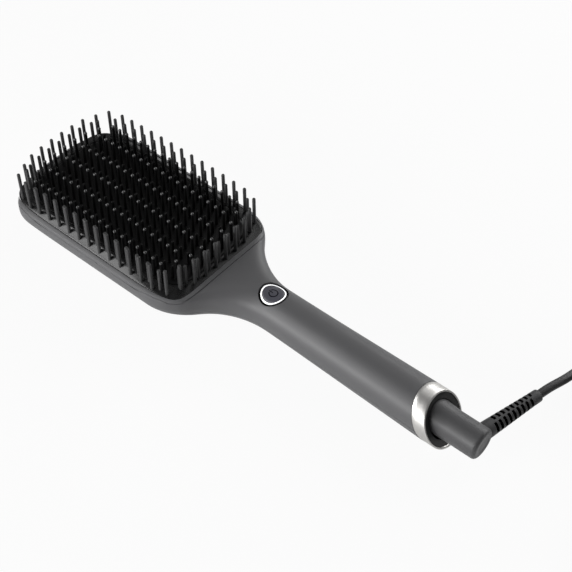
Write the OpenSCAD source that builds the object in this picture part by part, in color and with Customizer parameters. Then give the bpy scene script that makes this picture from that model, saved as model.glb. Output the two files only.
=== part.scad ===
// Heated straightening paddle brush with a swivel lead.
// X runs along the brush, from the far end of the head to the lead end of the handle.
// Y runs across it, Z points up, and the bristles point up. The brush lies on Z = 0.

/* [Head] */
// Length of the head from its far end to where the shoulders start
head_straight = 115.9; // [100:1:150]
// Half of the head's greatest width
head_half_w = 42.6; // [38:0.5:52]
// Height of the head's widest line above the surface it lies on
head_edge_z = 19.8; // [17:0.2:21]
// Height of the head's front face
head_top_z = 26; // [25:0.1:27]
// Depth to which the back of the head would bulge if it were not flattened at Z = 0
back_bulge = 0.5; // [0.2:0.1:0.8]
// Length over which the far corners round in
corner_run = 23.6; // [14:0.2:28]
// Radius of the shoulder where the head turns into the neck
shoulder_r = 27.3; // [20:0.1:32]
// Angle at which the shoulders run down to the neck
shoulder_angle = 53; // [45:1:60]
// Length of the straight slope between the shoulder and the neck's hollow
slope_l = 2.73; // [1:0.1:6]
// Squareness of the front half of the head's section
front_square = 6; // [4:0.5:8]
// Squareness of the back half of the head's section
back_square = 2; // [2:0.1:2.6]

/* [Handle] */
// Height of the handle's straight top line
handle_top_z = 28.7; // [28:0.1:30]
// Handle radius at the neck
neck_r = 12.43; // [11.5:0.1:13.5]
// Handle radius at the end band
end_r = 14.35; // [13.8:0.05:14.35]
// Length of the handle from the neck to the end band
handle_length = 101.6; // [80:1:130]
// Wall thickness of the housings
wall = 1.8; // [1.4:0.1:2.2]
// Height of the seam between the front and rear housings
seam_z = 13.3; // [12:0.1:14.5]
// Height of the seam below the front bezel
bezel_seam_z = 22.8; // [22.4:0.1:23.4]
// Length of the bezel's outer outline beyond the brush plate's
bezel_rim = 3; // [2.8:0.1:4.5]
// Height of the bezel's face above the housing's
bezel_lift = 0.5; // [0:0.1:0.8]

/* [Brush plate] */
// Length of the head beyond the far end of the brush plate
plate_margin = 3; // [2.5:0.1:4]
// Length of the brush plate past the place where the shoulders start
plate_reach = 20.6; // [15:0.1:21]
// Width of the head beside the brush plate
plate_side = 2.9; // [2.7:0.1:4]
// Squareness of the brush plate's outline towards the far end
plate_square = 6.5; // [6:0.5:8]
// Squareness of the brush plate's outline towards the handle
near_square = 7.5; // [6:0.5:8]
// Squareness of the bezel's outline towards the far end
rim_square = 5.5; // [5:0.5:7]
// Squareness of the bezel's outline towards the handle
rim_near_square = 5.5; // [5:0.5:6]
// Height of the brush plate's crown
plate_crown_z = 30; // [29:0.1:31]
// Fall of the plate's face from its crown to its long sides
plate_fall_y = 1.6; // [1:0.1:2.2]
// Fall of the plate's face from its crown to its ends
plate_fall_x = 3.7; // [2:0.1:4]
// Height of the brush plate's edge
plate_edge_z = 25.3; // [24.8:0.1:25.5]
// Gap between the brush plate and the bezel
plate_gap = 0.3; // [0.2:0.05:0.5]
// Width of the outer ring that carries the edge bristles
ring_w = 6; // [5.4:0.1:6.5]

/* [Bristles] */
// Bristle diameter
bristle_d = 2.1; // [1.6:0.1:2.4]
// Height of the outermost bristles above the plate
edge_bristle_h = 17.5; // [12:0.5:20]
// Height of the second row of edge bristles above the plate
second_bristle_h = 14; // [9:0.5:16]
// Height of the long field bristles above the plate
long_bristle_h = 13.5; // [8:0.5:16]
// Height of the short field bristles above the plate
short_bristle_h = 8.6; // [5:0.2:12]
// Distance from the plate's ends to the last bristles along the long sides
edge_margin = 14.75; // [13:0.25:18]
// Distance from the plate's long sides to the last bristles along its ends
end_margin = 11.7; // [10:0.1:14]
// Edge bristles on each long side, between the corner ones
edge_count = 13; // [9:2:13]
// Edge bristles on each short side, between the corner ones
end_count = 8; // [6:2:8]
// Distance from the plate's long sides to the outermost bristles
edge_inset = 2.05; // [1.8:0.05:2.4]
// Distance from the plate's ends to the outermost bristles
end_inset = 2.95; // [2:0.05:3.2]
// Distance from the plate's edge to the second row of bristles
second_inset = 4.4; // [4.2:0.05:4.8]
// Distance from the plate's ends to the ends of the field rows
field_margin = 15; // [14.5:0.25:20]
// Bristles in each row of the field
field_count = 18; // [12:1:18]
// Distance from the outer ring to the outermost field rows
row_margin = 1.95; // [1.9:0.05:4]
// Distance from the plate's edge to the arc of bristles at each end of the field
arc_inset = 9.2; // [8.2:0.1:9.4]

/* [Heater] */
// Thickness of the heat spreader plate
spreader_t = 2; // [1.5:0.1:2.5]
// Gap round the heat spreader inside the brush plate's outline
spreader_inset = 2.6; // [2:0.1:4]
// Length of each heater strip
heater_l = 76; // [60:1:80]
// Width of each heater strip
heater_w = 15; // [10:0.5:18]
// Thickness of each heater strip
heater_t = 4; // [3:0.1:4.5]
// Distance of each heater strip's middle from the centre line
heater_offset = 13; // [11:0.5:14]
// Thickness of the insulation board
insulation_t = 2; // [1:0.1:2.5]
// Diameter of the temperature sensor
sensor_d = 3; // [2:0.1:3.6]
// Length of the temperature sensor
sensor_l = 6; // [4:0.5:10]
// Diameter of the thermal fuse
fuse_d = 3.6; // [3:0.1:3.9]
// Length of the thermal fuse
fuse_l = 11; // [8:0.5:12]
// Distance of the heater strips' ends from the thermal fuse
fuse_setback = 5; // [3:0.5:8]
// Distance of the plate screws from the plate's ends
screw_end_margin = 22.75; // [18:0.25:25]
// Distance of the plate screws from the plate's long sides
screw_side_margin = 11.7; // [11:0.1:13]

/* [Button] */
// Distance of the button's middle from the neck, back towards the head
button_setback = 2.6; // [0:0.1:5]
// Diameter of the light ring
ring_d = 13.85; // [12:0.05:15]
// Thickness of the light ring's wall
ring_wall = 0.8; // [0.7:0.05:1.6]
// Depth of the light ring below the handle's surface
ring_sink = 0.25; // [0:0.05:0.6]
// Depth of the cap below the handle's surface
cap_sink = 0.2; // [0:0.05:0.5]
// Gap between moving and fixed button pieces
button_gap = 0.3; // [0.2:0.05:0.35]
// Width of the dark recess round the light ring
recess_w = 1.25; // [0.7:0.05:1.3]
// Travel of the button
button_travel = 0.6; // [0.3:0.1:0.9]

/* [Lead end] */
// Width of the end band along the handle
band_w = 8.1; // [6:0.1:10]
// Wall of the end band
band_wall = 1; // [0.8:0.05:1.2]
// Slant of the band's two ends: run along the handle for each unit of height
band_slant = 0.5; // [0.3:0.05:0.6]
// Distance that the swivel barrel stands out beyond the band, on the axis
barrel_reach = 24; // [20:0.5:32]
// Radius of the swivel barrel
barrel_r = 8.7; // [8:0.1:9.5]
// Radius of the barrel's flared foot
foot_r = 9.5; // [9.3:0.1:10.5]
// Running gap between the foot and its socket
swivel_gap = 0.3; // [0.25:0.05:0.4]
// Radius of the swivel's journal
journal_r = 5.95; // [5.5:0.05:6.2]
// Radial play of the journal in its bearing
journal_play = 0.06; // [0.03:0.01:0.09]
// Radius of the rounding on the barrel's end
barrel_round = 2; // [1:0.1:3]
// Distance of the strain relief's root from the barrel's end
relief_setback = 6.3; // [6:0.05:9]
// Angle of the strain relief away from square to the barrel
relief_angle = 13; // [8:1:15]
// Length of the strain relief beyond the barrel's surface
relief_l = 36; // [25:1:40]
// Diameter of the strain relief at its root
relief_d0 = 9.4; // [9:0.1:10.4]
// Diameter of the strain relief at its tip
relief_d1 = 7; // [6.6:0.1:8.6]
// Slots along each face of the strain relief
relief_slots = 9; // [6:1:9]
// Turn of the slots round the strain relief's own axis
slot_turn = 53; // [0:1:90]

/* [Lead] */
// Diameter of the lead
cord_d = 4.8; // [4.5:0.1:4.9]
// Turns in the coil, a whole number and a half
coil_turns = 11.5; // [8.5:1:11.5]
// Layers in the coil
coil_layers = 4; // [2:2:4]
// Radius at the middle of the coil's turns
coil_mid_r = 28.5; // [27.5:0.5:29]
// Spacing of turns and of layers
coil_pitch = 5.35; // [5.35:0.05:5.6]
// Thickness of the tie's strap
tie_t = 0.8; // [0.6:0.1:1]
// Width of the tie's strap
tie_w = 8; // [5:0.5:10]
// Length of the plug's body
plug_l = 36; // [30:1:40]
// Width of the plug's body at its pins
plug_w = 34; // [32:0.5:36]
// Height of the plug's body
plug_h = 13.6; // [12:0.1:15]
// Diameter of the plug's pins
pin_d = 4; // [3.8:0.1:4.8]
// Length of the plug's pins outside the body
pin_l = 19; // [17:0.5:20]
// Spacing of the plug's pins
pin_spacing = 18.6; // [18:0.1:20]

/* [Hidden] */
$fn = 48;
eps = 0.01;
big = 400;
big_half = big / 2;

// Places along the brush, worked out from the sizes above so that it is centred on X = 0
shoulder_run = shoulder_r * sin(shoulder_angle);
arc_fall = shoulder_r * (1 - cos(shoulder_angle));
slope_run = slope_l * cos(shoulder_angle);
slope_fall = slope_l * sin(shoulder_angle);
neck_hollow_r = (head_half_w - arc_fall - slope_fall - neck_r) / (1 - cos(shoulder_angle));
neck_run = shoulder_run + slope_run + neck_hollow_r * sin(shoulder_angle);
total_l = head_straight + neck_run + handle_length + band_w + barrel_reach;
head_x = -total_l / 2;
shoulder_x = head_x + head_straight;
slope_x = shoulder_x + shoulder_run;
hollow_x = slope_x + slope_run;
neck_x = shoulder_x + neck_run;
band_x = neck_x + handle_length;
band_end_x = band_x + band_w;
barrel_x = total_l / 2;
swivel_z = handle_top_z - end_r;
button_x = neck_x - button_setback;
// The section turns from the head's to the handle's over these stretches
height_lead = 12;
height_trail = 40;
square_lead = 2;
square_trail = -5;
height_blend = [shoulder_x - height_lead, neck_x + height_trail];
square_blend = [shoulder_x - square_lead, neck_x + square_trail];
end_square = 2.4;

plate_half_l = (head_straight + plate_reach - plate_margin) / 2;
plate_half_w = head_half_w - plate_side;
plate_x = head_x + plate_margin + plate_half_l;
plate_base_z = bezel_seam_z + 1;
spreader_z = plate_base_z - spreader_t;
heater_z = spreader_z - heater_t;
board_support_z = heater_z - insulation_t;
frame_low_z = spreader_z - 5;

// Spacing of the bristles
edge_pitch = 2 * (plate_half_l - edge_margin) / edge_count;
end_pitch = 2 * (plate_half_w - end_margin) / (end_count - 1);
field_pitch = 2 * (plate_half_l - field_margin) / field_count;
row_pitch = (plate_half_w - ring_w - row_margin) / 5;

// Sizes of small inner pieces
screw_d = 3;
screw_head_d = 5.6;
screw_head_h = 1.6;
post_d = 7.5;
pilot_depth = 12;
board_screw_d = 1.7;
board_screw_depth = 5;
board_screw_head_d = 3.8;
board_screw_head_h = 1.2;
fuse_x = plate_x + heater_l / 2 - fuse_setback - fuse_l;
sensor_x = fuse_x - sensor_l - 8;
screw_x = plate_half_l - screw_end_margin;
screw_y = plate_half_w - screw_side_margin;
capacitor_size = [16, 10, 7];
relay_size = [10, 10, 4.4];
chip_size = [6, 6, 1.2];
switch_w = 6;
lead_d = 1.6;
sensor_lead_d = 1;
lead_sides = 6;
lead_stub = 2;
heater_lead_y = 6.5;
sensor_lead_y = 2.4;
under_frame_z = frame_low_z - lead_d / 2 - 0.4;
board_t = 1.6;
board_w = 17;
board_z = 14.6;
board_top_z = board_z + board_t;
board_start_x = button_x - 11;
board_end_x = band_x - 26;
board_post_x = [board_start_x + 20, board_end_x - 6];
board_post_y = 5.5;
led_h = 1.4;

// Button heights, from the board up
switch_h = 3.5;
switch_top_z = board_top_z + switch_h;
plunger_r = 1.7;
plunger_h = 1.8;
stem_z = switch_top_z + 1;
stem_r = 2.2;
well_floor_z = board_top_z + 4;
well_floor_t = 1;
cap_z = well_floor_z + well_floor_t + button_travel + 1;
cap_r = ring_d / 2 - ring_wall - button_gap;
well_r = ring_d / 2 + recess_w;
well_drop = 1.2;

// Swivel places, from the socket's wall outwards
socket_r = 11.4;
bulkhead_t = 4;
bulkhead_x = band_x - 6.9;
foot_x = bulkhead_x + bulkhead_t + 0.4;
flare = [band_end_x - 6, band_end_x + 6];
journal_x = bulkhead_x - 2;
tail_r = 3.9;
tail_x = journal_x - 10;
lead_bore_r = 3.1;
core_r = 2.3;
clip_x = bulkhead_x - 1.4;
clip_t = 0.8;
ring_t = 2;
slip_ring_r = 5;
ring_xs = [tail_x + 3, tail_x + 6.5];
holder_x = tail_x + 0.5;
holder_l = 9;
holder_bore_r = slip_ring_r + swivel_gap + 0.2;
leaf_w = 1.4;
relief_x = barrel_x - relief_setback;
relief_in = 4;
relief_out = barrel_r / cos(relief_angle) + relief_l;
relief_dir = [sin(relief_angle), cos(relief_angle), 0];
relief_tip = [relief_x, 0, swivel_z] + relief_out * relief_dir;

// The coil lies on its tie, just past the lead end of the brush
coil_centre = [199, 100];
coil_rings = 24;
coil_sides = 6;
coil_swing = coil_pitch * coil_turns / coil_layers / 2;
coil_outer_r = coil_mid_r + coil_swing;
coil_inner_r = coil_mid_r - coil_swing;
coil_z = tie_t + 0.1 + cord_d / 2;
coil_top_z = coil_z + (coil_layers - 1) * coil_pitch;
coil_start = [coil_centre[0] - coil_outer_r, coil_centre[1] - cord_d, coil_z];
coil_end = [coil_centre[0] + coil_outer_r, coil_centre[1] - cord_d, coil_top_z];
plug_z = plug_h / 2;
plug_x = 230;
// The lead's free stretches: points chosen by hand between the pieces that they join
run_points = [[161.8, 61, 13.4], [162.9, 68, 12], [163.2, 75, 9.4], [163, 82, 6.5], [162.8, 89, 4.1]];
tail_points = [[235, 89, 18.2], [234.2, 82, 16], [233, 75, 13.2], [231.6, 68, 10.4], [230.4, 60, 7.9]];
plug_neck_y = 52;
plug_neck_l = 14;
plug_root_y = plug_neck_y - plug_neck_l;
plug_face_y = plug_root_y - plug_l;
plug_pin_depth = 8;
run_sides = 8;
run_step = 0.5;

// ---------------------------------------------------------------- section of the housings

// Eases from 1 before span[0] to 0 after span[1]
function ease(x, span) = x <= span[0] ? 1 : x >= span[1] ? 0
    : 0.5 + 0.5 * cos(180 * (x - span[0]) / (span[1] - span[0]));
function mix(a, b, t) = a + (b - a) * t;
function handle_r(x) = neck_r + (x - neck_x) * (end_r - neck_r) / handle_length;
// Half width of the plan outline: straight side, shoulder arc, slope, hollow arc, handle
function side_w(x) =
    x < shoulder_x ? head_half_w
    : x < slope_x ? head_half_w - shoulder_r + sqrt(shoulder_r ^ 2 - (x - shoulder_x) ^ 2)
    : x < hollow_x ? head_half_w - arc_fall - (x - slope_x) * tan(shoulder_angle)
    : x < neck_x ? neck_r + neck_hollow_r - sqrt(neck_hollow_r ^ 2 - (neck_x - x) ^ 2)
    : handle_r(x);
// Rounding of the far end, from 0 at its tip to 1 after the run
function tip(u, run, power) = (1 - max(0, 1 - u / run) ^ power) ^ (1 / power);
function half_w(x, inset) = (side_w(x) - inset) * tip(x - head_x - inset, corner_run, end_square);
function wide_z(x) = mix(handle_top_z - handle_r(x), head_edge_z, ease(x, height_blend));
function rise(x, inset) =
    (mix(handle_top_z, head_top_z, ease(x, square_blend)) - inset - wide_z(x))
    * tip(x - head_x - inset, head_half_w, front_square);
function fall(x, inset) =
    (wide_z(x) - inset - mix(handle_top_z - 2 * handle_r(x), -back_bulge, ease(x, height_blend)))
    * tip(x - head_x - inset, head_half_w, back_square);
function square(x, head_value) = mix(2, head_value, ease(x, square_blend));
function power(v, p) = sign(v) * abs(v) ^ p;

// One section of the housing as a ring of points, drawn in by a wall's thickness
function section(x, inset, count) = [for (i = [0 : count - 1])
    let (a = 360 * i / count, up = sin(a) >= 0,
        e = 2 / square(x, up ? front_square : back_square),
        h = up ? rise(x, inset) : fall(x, inset))
    [x, half_w(x, inset) * power(cos(a), e), max(inset, wide_z(x) + h * power(sin(a), e))]];

// Places of the sections: close together on the far corners and through the neck
function stations(inset) = concat(
    [for (i = [0 : 6]) head_x + inset + 0.05 + (corner_run - 0.05) * (i / 6) ^ 2],
    [for (i = [1 : 2]) mix(head_x + corner_run, shoulder_x - 8, i / 2)],
    [for (i = [0 : 8]) mix(shoulder_x, neck_x, i / 8)],
    [for (i = [1 : 3]) mix(neck_x, band_x + 10, i / 3)]);

// A closed solid through rings of equal length, with a fan at each end
module loft(rings) {
    n = len(rings[0]);
    m = len(rings);
    ends = [for (r = [rings[0], rings[m - 1]]) [for (k = [0 : 2]) sum([for (p = r) p[k]]) / n]];
    points = concat([for (r = rings) each r], ends);
    faces = concat(
        [for (j = [0 : m - 2], i = [0 : n - 1]) let (k = (i + 1) % n)
            each [[j * n + i, (j + 1) * n + i, (j + 1) * n + k], [j * n + i, (j + 1) * n + k, j * n + k]]],
        [for (i = [0 : n - 1]) [m * n, i, (i + 1) % n]],
        [for (i = [0 : n - 1]) [m * n + 1, (m - 1) * n + (i + 1) % n, (m - 1) * n + i]]);
    polyhedron(points, faces, convexity = 10);
}

function sum(list, i = 0) = i >= len(list) ? 0 : list[i] + sum(list, i + 1);

module housing(inset) {
    loft([for (x = stations(inset)) section(x, inset, 32)]);
}

// Everything before the slanted plane that crosses the axis at x
module before_slant(x) {
    translate([x, 0, swivel_z])
        rotate([0, -atan(band_slant), 0])
            translate([-big, -big_half, -big_half])
                cube(big);
}

module between(z0, z1) {
    translate([-big_half, -big_half, z0])
        cube([big, big, z1 - z0]);
}

// ---------------------------------------------------------------- outline of the brush plate

plate_squares = [plate_square, near_square];
rim_squares = [rim_square, rim_near_square];
function plate_outline(grow, count, squares = plate_squares) = [for (i = [0 : count - 1])
    let (a = 360 * (i + 0.5) / count, e = 2 / squares[cos(a) < 0 ? 0 : 1])
    [plate_x + (plate_half_l + grow) * power(cos(a), e), (plate_half_w + grow) * power(sin(a), e)]];
function plate_z(x, y) = plate_crown_z - plate_fall_y * (y / plate_half_w) ^ 2
    - plate_fall_x * ((x - plate_x) / plate_half_l) ^ 2;

module plate_prism(grow, z0, z1) {
    translate([0, 0, z0])
        linear_extrude(z1 - z0)
            polygon(plate_outline(grow, 64));
}

// The bezel's outline is rounder at its corners than the plate's
module rim_prism(grow, z0, z1) {
    translate([0, 0, z0])
        linear_extrude(z1 - z0)
            polygon(plate_outline(bezel_rim + grow, 64, rim_squares));
}

// ---------------------------------------------------------------- housings

module rear_shell() {
    color([0.33, 0.33, 0.34])
    resize([0, 0, 0])
    difference() {
        union() {
            difference() {
                intersection() {
                    housing(0);
                    between(0, seam_z);
                    before_slant(band_x);
                }
                housing(wall);
            }
            intersection() {
                housing(wall / 2);
                union() {
                    plate_posts();
                    board_posts();
                    insulation_rests();
                }
            }
        }
        screw_holes(screw_d - 0.25, spreader_z - pilot_depth, spreader_z + 1);
        for (x = board_post_x, y = [-1, 1] * board_post_y)
            translate([x, y, board_z - board_screw_depth - 1])
                cylinder(d = board_screw_d + 0.15, h = board_screw_depth + 2, $fn = 16);
    }
}

module plate_posts() {
    for (x = [-1, 1] * screw_x, y = [-1, 1] * screw_y)
        translate([plate_x + x, y, 0])
            cylinder(d = post_d, h = spreader_z, $fn = 20);
}

module board_posts() {
    for (x = board_post_x, y = [-1, 1] * board_post_y)
        translate([x, y, 0])
            cylinder(d = 4.6, h = board_z, $fn = 16);
}

// Two cross ribs that hold the insulation board up against the heaters
module insulation_rests() {
    for (x = [-1, 1] * heater_l / 3)
        translate([plate_x + x - wall / 2, -heater_offset, 0])
            cube([wall, 2 * heater_offset, board_support_z]);
}

module screw_holes(d, z0, z1) {
    for (x = [-1, 1] * screw_x, y = [-1, 1] * screw_y)
        translate([plate_x + x, y, z0])
            cylinder(d = d, h = z1 - z0, $fn = 24);
}

module front_shell() {
    color([0.33, 0.33, 0.34])
    resize([0, 0, 0])
    difference() {
        union() {
            difference() {
                intersection() {
                    housing(0);
                    between(seam_z, 2 * handle_top_z);
                    before_slant(band_x);
                }
                housing(wall);
            }
            plate_frame();
        }
        plate_prism(plate_gap, seam_z - 1, handle_top_z + 1);
        rim_prism(0, bezel_seam_z, handle_top_z + 1);
        translate([button_x, 0, seam_z + 2])
            cylinder(r = well_r + 0.05, h = handle_top_z);
    }
}

// Wall under the bezel that closes the front housing round the brush plate
module plate_frame() {
    intersection() {
        housing(wall / 2);
        difference() {
            rim_prism(wall / 2, frame_low_z, bezel_seam_z + 3);
            plate_prism(plate_gap, frame_low_z - 1, bezel_seam_z + 4);
        }
    }
}

module front_bezel() {
    color([0.36, 0.36, 0.37])
    resize([0, 0, 0])
    difference() {
        intersection() {
            translate([0, 0, bezel_lift])
                housing(0);
            between(bezel_seam_z, handle_top_z);
            rim_prism(-0.08, bezel_seam_z - 1, handle_top_z);
        }
        plate_prism(plate_gap, bezel_seam_z - 2, handle_top_z + 1);
    }
}

// ---------------------------------------------------------------- brush plate and bristles

plate_points = 24;
// Width over which the outer ring's face slopes down to its edge
edge_run = 4.4;
// Thickness of a bristle's tip as a share of its foot
tip_share = 0.9;
// Depth to which the bristles are sunk into the plate
field_sunk = 1;
edge_sunk = 2.5;
// The tips lie on a flatter dome than the plate, so the end bristles are this much longer
tip_lift = 0.7;

function plate_ring(inset, squares) = [for (p = plate_outline(-inset, plate_points, squares))
    [p[0], p[1], plate_z(p[0], p[1])]];
function level_ring(inset, z, squares) = [for (p = plate_outline(-inset, plate_points, squares)) [p[0], p[1], z]];

module edge_plate() {
    difference() {
        loft([level_ring(0, plate_base_z, plate_squares), level_ring(0, plate_edge_z, plate_squares),
            plate_ring(edge_run, plate_squares), plate_ring(ring_w + 1, rim_squares)]);
        loft([for (z = [plate_base_z - 1, plate_crown_z + 1]) level_ring(ring_w, z, rim_squares)]);
    }
}

module field_plate() {
    loft([level_ring(ring_w + eps, plate_base_z, rim_squares),
        for (inset = [ring_w + eps, 0.45 * plate_half_w, 0.98 * plate_half_w]) plate_ring(inset, rim_squares)]);
}

// A three-sided bristle, sunk a little into the plate and drawn in towards its tip
module bristle(x, y, h, sunk) {
    foot_z = max(plate_base_z + wall / 4, plate_z(x, y) - sunk);
    tip_z = plate_z(x, y) + h + tip_lift * ((x - plate_x) / plate_half_l) ^ 2;
    translate([x, y, foot_z])
        cylinder(d1 = bristle_d, d2 = tip_share * bristle_d, h = tip_z - foot_z, $fn = 3);
}

// Places along the long sides, at a distance from the plate's edge
function long_row(inset, count) = [for (s = [-1, 1], i = [0 : count - 1])
    [plate_x + (i - (count - 1) / 2) * edge_pitch, s * (plate_half_w - inset)]];
// Places along the ends, on a bow like that of the bezel's far end
function bow(y, inset) = (plate_half_l - inset)
    * (1 - (abs(y) / (plate_half_w - inset)) ^ rim_square) ^ (1 / rim_square) - (y / 34) ^ 2;
function end_row(inset, count) = [for (s = [-1, 1], i = [0 : count - 1])
    let (y = (i - (count - 1) / 2) * end_pitch)
    [plate_x + s * bow(y, inset), y]];
// Places at the corners, as shares of the outline's half length and half width
function corners(inset, share) = [for (sx = [-1, 1], sy = [-1, 1])
    [plate_x + sx * (plate_half_l - inset) * share[0], sy * (plate_half_w - inset) * share[1]]];
function field_row(y, count) = [for (i = [0 : count - 1])
    [plate_x + (i - (count - 1) / 2) * field_pitch, y]];

edge_places = concat(long_row(edge_inset, edge_count), end_row(end_inset, end_count), corners(edge_inset, [0.88, 0.94]));
second_places = concat(long_row(second_inset, edge_count + 1), end_row(second_inset, end_count - 1),
    corners(second_inset, [0.95, 0.787]));
long_places = [for (k = [-5, -3, -1, 1, 3, 5]) each field_row(k * row_pitch * (abs(k) == 5 ? 0.96 : 1), field_count)];
short_places = [for (k = [-4, -2, 0, 2, 4]) each field_row(k * row_pitch, field_count + 1)];
arc_places = end_row(arc_inset, end_count - 1);

module edge_bristles() {
    color([0.05, 0.05, 0.055])
    resize([0, 0, 0])
    union() {
        edge_plate();
        for (p = edge_places) bristle(p[0], p[1], edge_bristle_h, edge_sunk);
        for (p = second_places) bristle(p[0], p[1], second_bristle_h, field_sunk);
    }
}

module field_bristles() {
    color([0.04, 0.04, 0.045])
    resize([0, 0, 0])
    union() {
        field_plate();
        for (p = concat(long_places, arc_places)) bristle(p[0], p[1], long_bristle_h, field_sunk);
        for (p = short_places) bristle(p[0], p[1], short_bristle_h, field_sunk);
    }
}

// ---------------------------------------------------------------- heater

module heat_spreader() {
    color([0.75, 0.76, 0.78])
    difference() {
        plate_prism(-spreader_inset, spreader_z, plate_base_z);
        screw_holes(screw_d + 0.3, spreader_z - 1, plate_base_z + 1);
        screw_holes(screw_head_d + 0.4, plate_base_z - screw_head_h, plate_base_z + 1);
    }
}

module heater(side) {
    color([0.85, 0.8, 0.68])
    translate([plate_x - heater_l / 2, side * heater_offset - heater_w / 2, heater_z])
        cube([heater_l, heater_w, heater_t]);
}

module heater_left() {
    heater(1);
}

module heater_right() {
    heater(-1);
}

module insulation_board() {
    color([0.72, 0.6, 0.38])
    translate([plate_x - heater_l / 2, -heater_offset - heater_w / 2, board_support_z])
        cube([heater_l, 2 * heater_offset + heater_w, insulation_t]);
}

module temperature_sensor() {
    color([0.15, 0.2, 0.45])
    translate([sensor_x, 0, spreader_z - sensor_d / 2])
        rotate([0, 90, 0])
            cylinder(d = sensor_d, h = sensor_l);
}

module thermal_fuse() {
    color([0.8, 0.8, 0.78])
    translate([fuse_x, 0, spreader_z - fuse_d / 2])
        rotate([0, 90, 0])
            cylinder(d = fuse_d, h = fuse_l);
}

module plate_screws() {
    color([0.6, 0.6, 0.62])
    for (x = [-1, 1] * screw_x, y = [-1, 1] * screw_y)
        translate([plate_x + x, y, 0]) {
            translate([0, 0, plate_base_z - screw_head_h])
                cylinder(d = screw_head_d, h = screw_head_h);
            translate([0, 0, plate_base_z - pilot_depth])
                cylinder(d = screw_d - 0.4, h = pilot_depth);
        }
}

// ---------------------------------------------------------------- inner leads

// A tube of given radius through a list of points
function unit(v) = v / norm(v);
function tangent(p, i) = unit(p[min(i + 1, len(p) - 1)] - p[max(i - 1, 0)]);
function frame_ring(c, t, r, sides, spin) =
    let (side = unit(cross(t, abs(t[2]) > 0.9 ? [1, 0, 0] : [0, 0, 1])), up = cross(side, t))
    [for (i = [0 : sides - 1]) let (a = 360 * i / sides + spin) c + r * (cos(a) * side + sin(a) * up)];

module tube(points, r, sides, spin = 0) {
    loft([for (i = [0 : len(points) - 1]) frame_ring(points[i], tangent(points, i), r, sides, spin)]);
}

// The leads leave what they serve squarely, pass under the front housing's frame, and drop onto the board
function lead_route(start, y, z_run, end_x, r) = [start, start + [lead_stub, 0, 0],
    [start[0] + 5 * lead_stub, start[1], min(start[2], under_frame_z)],
    [plate_x + plate_half_l - 4, y, under_frame_z], [plate_x + plate_half_l + bezel_rim + 3, y, under_frame_z],
    [board_start_x - lead_stub, y, z_run], [end_x, y, board_top_z + r]];

module heater_leads() {
    color([0.7, 0.1, 0.08])
    for (s = [-1, 1])
        tube(lead_route([plate_x + heater_l / 2, s * heater_offset, heater_z + heater_t / 2],
            s * heater_lead_y, board_top_z + lead_d, board_start_x + lead_stub, lead_d / 2), lead_d / 2, lead_sides);
}

module sensor_leads() {
    color([0.9, 0.9, 0.88])
    for (s = [-1, 1])
        tube(lead_route([fuse_x + fuse_l, s * 0.8, spreader_z - fuse_d / 2], s * sensor_lead_y,
            board_top_z + lead_d, board_start_x + lead_stub, sensor_lead_d / 2), sensor_lead_d / 2, lead_sides);
}

module supply_leads() {
    over_z = swivel_z + 8;
    color([0.1, 0.2, 0.6])
    for (s = [-1, 1])
        tube([[board_end_x - lead_stub, s * 4, board_top_z + lead_d / 2],
            [board_end_x + 2 * lead_stub, s * 4, board_top_z + 2 * lead_d], [holder_x - 3 * lead_stub, s * 3, over_z],
            [holder_x - lead_stub, s * 2, over_z], [holder_x - eps, s * 2, over_z]], lead_d / 2, lead_sides);
}

// ---------------------------------------------------------------- control board

module main_board() {
    color([0.05, 0.32, 0.15])
    difference() {
        translate([board_start_x, -board_w / 2, board_z])
            cube([board_end_x - board_start_x, board_w, board_t]);
        for (x = board_post_x, y = [-1, 1] * board_post_y)
            translate([x, y, board_z - 1])
                cylinder(d = 2.4, h = board_t + 2);
    }
}

module board_screws() {
    color([0.6, 0.6, 0.62])
    for (x = board_post_x, y = [-1, 1] * board_post_y)
        translate([x, y, board_top_z]) {
            cylinder(d = board_screw_head_d, h = board_screw_head_h);
            translate([0, 0, -board_t - board_screw_depth])
                cylinder(d = board_screw_d, h = board_t + board_screw_depth);
        }
}

module film_capacitor() {
    color([0.75, 0.6, 0.1])
    translate([board_end_x - 12 - capacitor_size[0], -capacitor_size[1] / 2, board_top_z])
        cube(capacitor_size);
}

module power_switch() {
    color([0.12, 0.12, 0.12])
    translate([board_post_x[0] + 12, -relay_size[1] / 2, board_top_z])
        cube(relay_size);
}

module control_chip() {
    color([0.1, 0.1, 0.1])
    translate([board_post_x[0] + 2, -chip_size[1] / 2, board_top_z])
        cube(chip_size);
}

module tact_switch() {
    color([0.2, 0.2, 0.21])
    difference() {
        translate([button_x - switch_w / 2, -switch_w / 2, board_top_z])
            cube([switch_w, switch_w, switch_h]);
        translate([button_x, 0, switch_top_z - plunger_h])
            cylinder(r = plunger_r + 0.15, h = plunger_h + 1);
    }
}

module status_leds() {
    color([0.95, 0.95, 0.9])
    for (a = [45 : 90 : 315])
        translate([button_x + ring_place() * cos(a), ring_place() * sin(a), board_top_z])
            translate([-0.8, -0.8, 0])
                cube([1.6, 1.6, led_h]);
}

// ---------------------------------------------------------------- button

function ring_place() = (ring_d - ring_wall) / 2;

// Everything under the handle's round top, raised by proud
module under_handle_top(proud) {
    translate([button_x - ring_d, 0, handle_top_z - handle_r(button_x)])
        rotate([0, 90, 0])
            cylinder(r = handle_r(button_x) + proud, h = 2 * ring_d, $fn = 96);
}

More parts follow.
